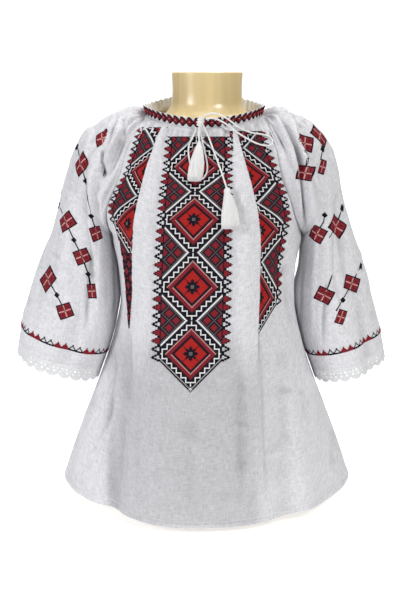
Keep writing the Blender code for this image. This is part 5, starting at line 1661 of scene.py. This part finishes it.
def makeFrill():
    rows, columns = frillPlan["rows"], frillPlan["waves"] * frillPlan["perWave"]
    angle = np.linspace(0, 2 * math.pi, columns, endpoint=False)[None, :]
    top = frillPlan["height"] - frillPlan["notch"] * (0.5 - 0.5 * np.cos(frillPlan["waves"] * angle))
    rise = np.linspace(0, 1, rows + 1)[:, None] * top
    # the strip's foot runs on down inside the panels, out of sight
    rise = np.concatenate([np.full((1, columns), -frillPlan["tuck"]), rise])
    points = frillPoints(angle, rise)
    middle = np.array([neckPlan["centreX"], neckPlan["centreY"], neckPlan["sideZ"]])
    normals = gridNormals(points, lambda p: (p - middle) * (1, 1, 0), wrap=True)
    uv = clothUv(points)
    piece = addPiece("neckFrill", gridMesh("neckFrill", points, normals, uv, wrap=True), frillCotton)
    thicken(piece, frillPlan["thickness"])
    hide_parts("neck_frill")
    surface = Surface(*(np.concatenate([part, part[:, :1]], axis=1) for part in (points, normals, uv)))
    codes = diamondChart(columns, rows, frillPlan["perWave"], frillPlan["diamond"])
    row, column = np.meshgrid(np.arange(rows + 1.0) + 1, np.arange(columns + 1.0), indexing="ij")
    stitches = addPiece("frillEmbroidery", stitchMesh("frillEmbroidery", surface, row, column, codes), *threads)
    return piece, stitches


neckFrill, frillStitches = makeFrill()
print("neck frill gathered")


# lace edging under the sleeves: scalloped, with two rows of small eyelets cut through
lacePlan = {
    "scallops": 21, "depth": 0.0230, "scallopDepth": 0.0070, "round": 0.55, "gap": 0.0002,
    "perScallop": 20, "rows": 26, "thickness": 0.0007, "hangsFrom": 7,
    # eyelets: how far down, half width, half height, shift round, and how many a scallop
    "eyelets": [(0.30, 0.0018, 0.0012, 0.0, 3), (0.56, 0.0019, 0.0013, 0.5, 2)],
    "rim": (0.55, 1.45), "cut": 1.05,           # points this near an eyelet's rim slide on to it
    "cords": (0.06, 0.96), "cordWidth": 0.03, "cordHeight": 0.0003,
    "rowPitch": 0.0021, "rowHeight": 0.00018, "ease": 1.03,
}


def slideToEyelets(u, v, total):
    # where the points go, and the quads that stay
    newU, newV, keep = u, v, np.ones((u.shape[0] - 1, u.shape[1]), bool)
    for height, halfU, halfV, shift, count in lacePlan["eyelets"]:
        pitch = total / (lacePlan["scallops"] * count)
        offU = ((u / pitch + shift + 0.5) % 1 - 0.5) * pitch
        offV = v - (lacePlan["gap"] + lacePlan["depth"] * height)
        reach = np.sqrt((offU / halfU) ** 2 + (offV / halfV) ** 2)
        near = (reach > lacePlan["rim"][0]) & (reach < lacePlan["rim"][1])
        scale = np.where(near, 1 / np.maximum(reach, 1e-6), 1.0)
        newU = np.where(near, u + offU * (scale - 1), newU)
        newV = np.where(near, v + offV * (scale - 1), newV)
        inside = reach < lacePlan["cut"]
        inner = inside & np.roll(inside, -1, axis=1)
        keep &= ~(inner[:-1] & inner[1:])
    return newU - u, newV - v, keep


def makeLace(side):
    plan = lacePlan
    columns = plan["scallops"] * plan["perScallop"]
    surface = surfaces["sleeve" + side.capitalize()]
    around = np.linspace(0, 1, columns, endpoint=False)
    place, last = around * (surface.columns - 1), np.full(columns, surface.rows - 1.0)
    edge = surface.read(surface.points, last, place)
    downward = unit(edge - surface.read(surface.points, last - plan["hangsFrom"], place))
    scallop = np.abs(np.sin(math.pi * plan["scallops"] * around)) ** plan["round"]
    depth = plan["depth"] - plan["scallopDepth"] * (1 - scallop)
    share = np.linspace(0, 1, plan["rows"] + 1)[:, None]
    v = plan["gap"] + (depth - plan["gap"]) * share
    points = edge[None] + downward[None] * v[..., None]
    length = np.linalg.norm(np.diff(np.vstack([edge, edge[:1]]), axis=0), axis=1)
    u = np.broadcast_to(np.concatenate([[0], np.cumsum(length)[:-1]]), v.shape)
    total = float(length.sum())
    middle = edge.mean(axis=0)
    normals = gridNormals(points, lambda p: p - middle, wrap=True)
    moveU, moveV, keep = slideToEyelets(u, v, total)
    tangent = unit(np.roll(edge, -1, axis=0) - np.roll(edge, 1, axis=0))
    points = points + tangent[None] * moveU[..., None] + downward[None] * moveV[..., None]
    # corded rows: a low ridge along the top and round each scallop, and finer ones between
    ridge = sum(plan["cordHeight"] * np.exp(-((share - at) / plan["cordWidth"]) ** 2) for at in plan["cords"])
    fine = plan["rowHeight"] * np.cos(2 * math.pi * v / plan["rowPitch"])
    ridge = ridge + fine * (share > 0.1) * (share < 0.9)
    points = points + normals * ridge[..., None]
    name = "lace" + side.capitalize()
    piece = addPiece(name, gridMesh(name, points, normals, clothUv(points), keep, wrap=True), laceThread)
    thicken(piece, plan["thickness"])
    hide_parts("lace_" + side)
    return piece, total


laces = {side: makeLace(side) for side in sleevePlans}
print("lace sewn on")


# dress form: a smooth varnished body that comes up through the neckline
formPlan = {
    # rings: height, half width, half depth in front and behind, how square
    "rows": [
        (0.000, 0.1560, 0.1000, 0.1080, 2.2), (0.120, 0.1640, 0.1060, 0.1180, 2.2),
        (0.220, 0.1600, 0.1090, 0.1160, 2.2), (0.300, 0.1370, 0.1040, 0.1050, 2.2),
        (0.365, 0.1220, 0.0980, 0.0960, 2.2), (0.420, 0.1300, 0.1120, 0.0980, 2.2),
        (0.470, 0.1390, 0.1310, 0.1000, 2.1), (0.515, 0.1430, 0.1330, 0.1020, 2.0),
        (0.555, 0.1450, 0.1160, 0.1010, 2.0), (0.590, 0.1430, 0.1015, 0.0980, 2.0),
        (0.620, 0.1290, 0.0925, 0.0910, 2.0), (0.640, 0.1120, 0.0905, 0.0840, 2.0),
        (0.655, 0.0945, 0.0877, 0.0785, 2.0), (0.667, 0.0800, 0.0740, 0.0710, 2.0),
        (0.677, 0.0665, 0.0620, 0.0640, 2.0), (0.692, 0.0590, 0.0560, 0.0580, 2.0),
        (0.712, 0.0580, 0.0545, 0.0565, 2.0), (0.740, 0.0590, 0.0540, 0.0560, 2.0)],
    "sides": 120, "steps": 7, "rim": 0.0022, "rimRings": 5, "capRings": 6, "baseRings": 5,
}
varnishPlan = {
    "colour": (0.80, 0.63, 0.33), "bump": 0.12, "depth": 0.0008, "coat": 0.35, "coatRough": 0.18,
    "streak": ((95, 95, 5), 3.0, 0.6), "streakShade": 0.28,
    "broad": ((34, 34, 2.5), 2.0, 0.5), "broadShade": 0.35,
    "scuff": ((60, 60, 60), 5.0, 0.65), "leastRough": 0.22, "scuffRough": 0.22,
}


def makeForm(plan):
    # oval rings, half width by half depth, squared a little below the waist, closed by a flat neck and base
    table = np.array(plan["rows"])
    at = np.linspace(0, len(table) - 1, (len(table) - 1) * plan["steps"] + 1)
    z, wide, front, back, square = (splineRead(table[:, k], at) for k in range(5))
    # a round rim at the neck's top, then rings that close to the middle
    rim, rings = plan["rim"], plan["capRings"]
    turn = np.linspace(0, math.pi / 2, plan["rimRings"] + 1)[1:]
    capZ = np.concatenate([z[-1] - rim + rim * np.sin(turn), np.full(rings, z[-1])])
    closing = rim + (wide[-1] - rim) * np.linspace(0.1, 0.99, rings)
    z = np.concatenate([z[:-1], [z[-1] - rim], capZ])
    shrink = np.concatenate([np.zeros(len(at)), rim * (1 - np.cos(turn)), closing])
    wide, front, back, square = (np.concatenate([one, np.full(len(capZ), one[-1])])
                                 for one in (wide, front, back, square))
    left = np.clip(1 - shrink / wide, 0.004, 1)
    angle = np.linspace(0, 2 * math.pi, plan["sides"], endpoint=False)[None, :]
    cosine, sine = np.cos(angle), np.sin(angle)
    power = (2 / square)[:, None]
    depth = np.where(sine < 0, front[:, None], back[:, None])
    x = (wide * left)[:, None] * np.sign(cosine) * np.abs(cosine) ** power
    y = depth * left[:, None] * np.sign(sine) * np.abs(sine) ** power
    points = stack(x, y, z[:, None])
    base = np.linspace(0.02, 1, plan["baseRings"])[:, None, None]
    points = np.concatenate([points[:1] * (1, 1, 0) * base, points[1:]], axis=0)
    normals = gridNormals(points, lambda p: p * (1, 1, 0), wrap=True)
    return gridMesh("formBody", points, normals, wrap=True)


def makeVarnish(plan):
    # varnish over a warm tan: upright streaks, a few faint scuffs, and a clear coat
    made, tree, shader = newMaterial("varnishedTan")
    place = tree.nodes.new("ShaderNodeTexCoord").outputs["Object"]
    streak, broad, scuff = (scaledNoise(tree, place, *plan[key]) for key in ("streak", "broad", "scuff"))
    shade = swung(tree, swung(tree, 1.0, streak, plan["streakShade"]), broad, plan["broadShade"])
    dress(tree, shader, plan, shade, streak)
    rough = mathNode(tree, "MULTIPLY_ADD", scuff, plan["scuffRough"], plan["leastRough"])
    tree.links.new(rough, shader.inputs["Roughness"])
    return made


formBody = addPiece("formBody", makeForm(formPlan), makeVarnish(varnishPlan))
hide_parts("dress_form")
print("form stands")


# sheets: what each piece was cut to
sheetPlans = {
    "frontPanel": {"flat": (0.70, 0.72), "area": 0.345},
    "backPanel": {"flat": (0.66, 0.73), "area": 0.315},
    "sleeveRight": {"flat": (0.48, 0.52), "area": 0.180},
    "sleeveLeft": {"flat": (0.44, 0.52), "area": 0.172},
}


def clothArea(piece):
    return sum(polygon.area for polygon in piece.data.polygons)


for name, plan in sheetPlans.items():
    uv = surfaces[name].uv
    print(name, "measures", round(float((uv[:, -1, 0] - uv[:, 0, 0]).max()), 3), "x",
          round(float(uv[..., 1].max()), 3), "area", round(clothArea(clothPieces[name]), 4))
print("neckFrill area", round(clothArea(neckFrill), 5))
for side, (piece, total) in laces.items():
    print(piece.name, "length", round(total, 4), "area", round(clothArea(piece), 5))


# stage and light
stagePlan = {
    "halfWidth": 4.0, "front": -2.6, "back": 2.2, "bend": 1.2, "height": 4.0, "under": 0.0004,
    "colour": (0.93, 0.93, 0.935), "rough": 0.95, "specular": 0.05,
    "speck": ((60, 60, 60), 3.0), "speckShade": 0.02,
    "glow": 0.62, "glowSide": (1.6, 0.5), "glowFront": (0.75, 0.4),     # its reach, and how far it fades over
    "world": (0.95, 0.97, 1.0), "worldStrength": 0.06,
}
lightPlans = {
    # place, aim, size, power, colour
    "keyLight": ((1.2, -1.6, 2.0), (0, 0, 0.50), (0.6, 0.6), 28, (1.0, 0.99, 0.97)),
    "fillLight": ((-1.9, -1.4, 1.3), (0, 0, 0.50), (0.7, 0.7), 25, (0.97, 0.98, 1.0)),
    "topLight": ((0.0, -0.3, 2.3), (0, 0, 0.5), (1.0, 1.0), 9, (1.0, 1.0, 1.0)),
    "backdropLight": ((0.0, 1.3, 2.9), (0, 2.8, 0.6), (1.8, 0.8), 60, (1.0, 1.0, 1.0)),
}


def makePaper(plan):
    # pale paper that glows in a pool round the part, and fades outside
    made, tree, shader = newMaterial("palePaper")
    place = tree.nodes.new("ShaderNodeTexCoord").outputs["Object"]
    dress(tree, shader, plan, swung(tree, 1.0, scaledNoise(tree, place, *plan["speck"]), plan["speckShade"]))
    parts = tree.nodes.new("ShaderNodeSeparateXYZ")
    tree.links.new(place, parts.inputs[0])
    aside = mathNode(tree, "SUBTRACT", plan["glowSide"][0], mathNode(tree, "ABSOLUTE", parts.outputs["X"]))
    ahead = mathNode(tree, "ADD", parts.outputs["Y"], plan["glowFront"][0])
    pools = []
    for value, width in ((aside, plan["glowSide"][1]), (ahead, plan["glowFront"][1])):
        pool = mathNode(tree, "MULTIPLY", value, 1 / width)
        pool.node.use_clamp = True
        pools.append(pool)
    glow = mathNode(tree, "MULTIPLY", mathNode(tree, "MULTIPLY", *pools), plan["glow"])
    tree.links.new(glow, shader.inputs["Emission Strength"])
    shader.inputs["Emission Color"].default_value = (1, 1, 1, 1)
    return made


def makeStage(plan):
    # a flat floor that bends up behind into a wall: a straight line, a quarter circle, a straight line
    flat = np.linspace(plan["front"], plan["back"], 12)
    turn = np.linspace(0, math.pi / 2, 16)[1:]
    wall = np.linspace(plan["bend"], plan["height"], 7)[1:]
    y = np.concatenate([flat, plan["back"] + plan["bend"] * np.sin(turn),
                        0 * wall + plan["back"] + plan["bend"]])
    z = np.concatenate([0 * flat, plan["bend"] * (1 - np.cos(turn)), wall]) - plan["under"]
    x = np.linspace(-plan["halfWidth"], plan["halfWidth"], 9)
    points = stack(x[None, :], y[:, None], z[:, None])
    mesh = gridMesh("backdrop", points, gridNormals(points, (0, -1, 1)))
    mesh.materials.append(makePaper(plan))
    backdrop = bpy.data.objects.new("backdrop", mesh)
    bpy.context.scene.collection.objects.link(backdrop)


def addLight(name, place, aim, size, power, colour):
    data = bpy.data.lights.new(name, "AREA")
    data.shape = "RECTANGLE"
    data.size, data.size_y = size
    data.energy = power
    data.color = colour
    light = bpy.data.objects.new(name, data)
    light.location = place
    beam = Vector(np.array(aim, float) - np.array(place, float))
    light.rotation_euler = beam.to_track_quat("-Z", "Y").to_euler()
    bpy.context.scene.collection.objects.link(light)


def makeWorld(plan):
    world = bpy.data.worlds.new("studio")
    world.use_nodes = True
    sky = world.node_tree.nodes["Background"]
    sky.inputs[0].default_value = (*plan["world"], 1)
    sky.inputs[1].default_value = plan["worldStrength"]
    bpy.context.scene.world = world


makeStage(stagePlan)
for name, plan in lightPlans.items():
    addLight(name, *plan)
makeWorld(stagePlan)
bpy.context.scene.view_settings.view_transform = "Standard"
print("lights set")
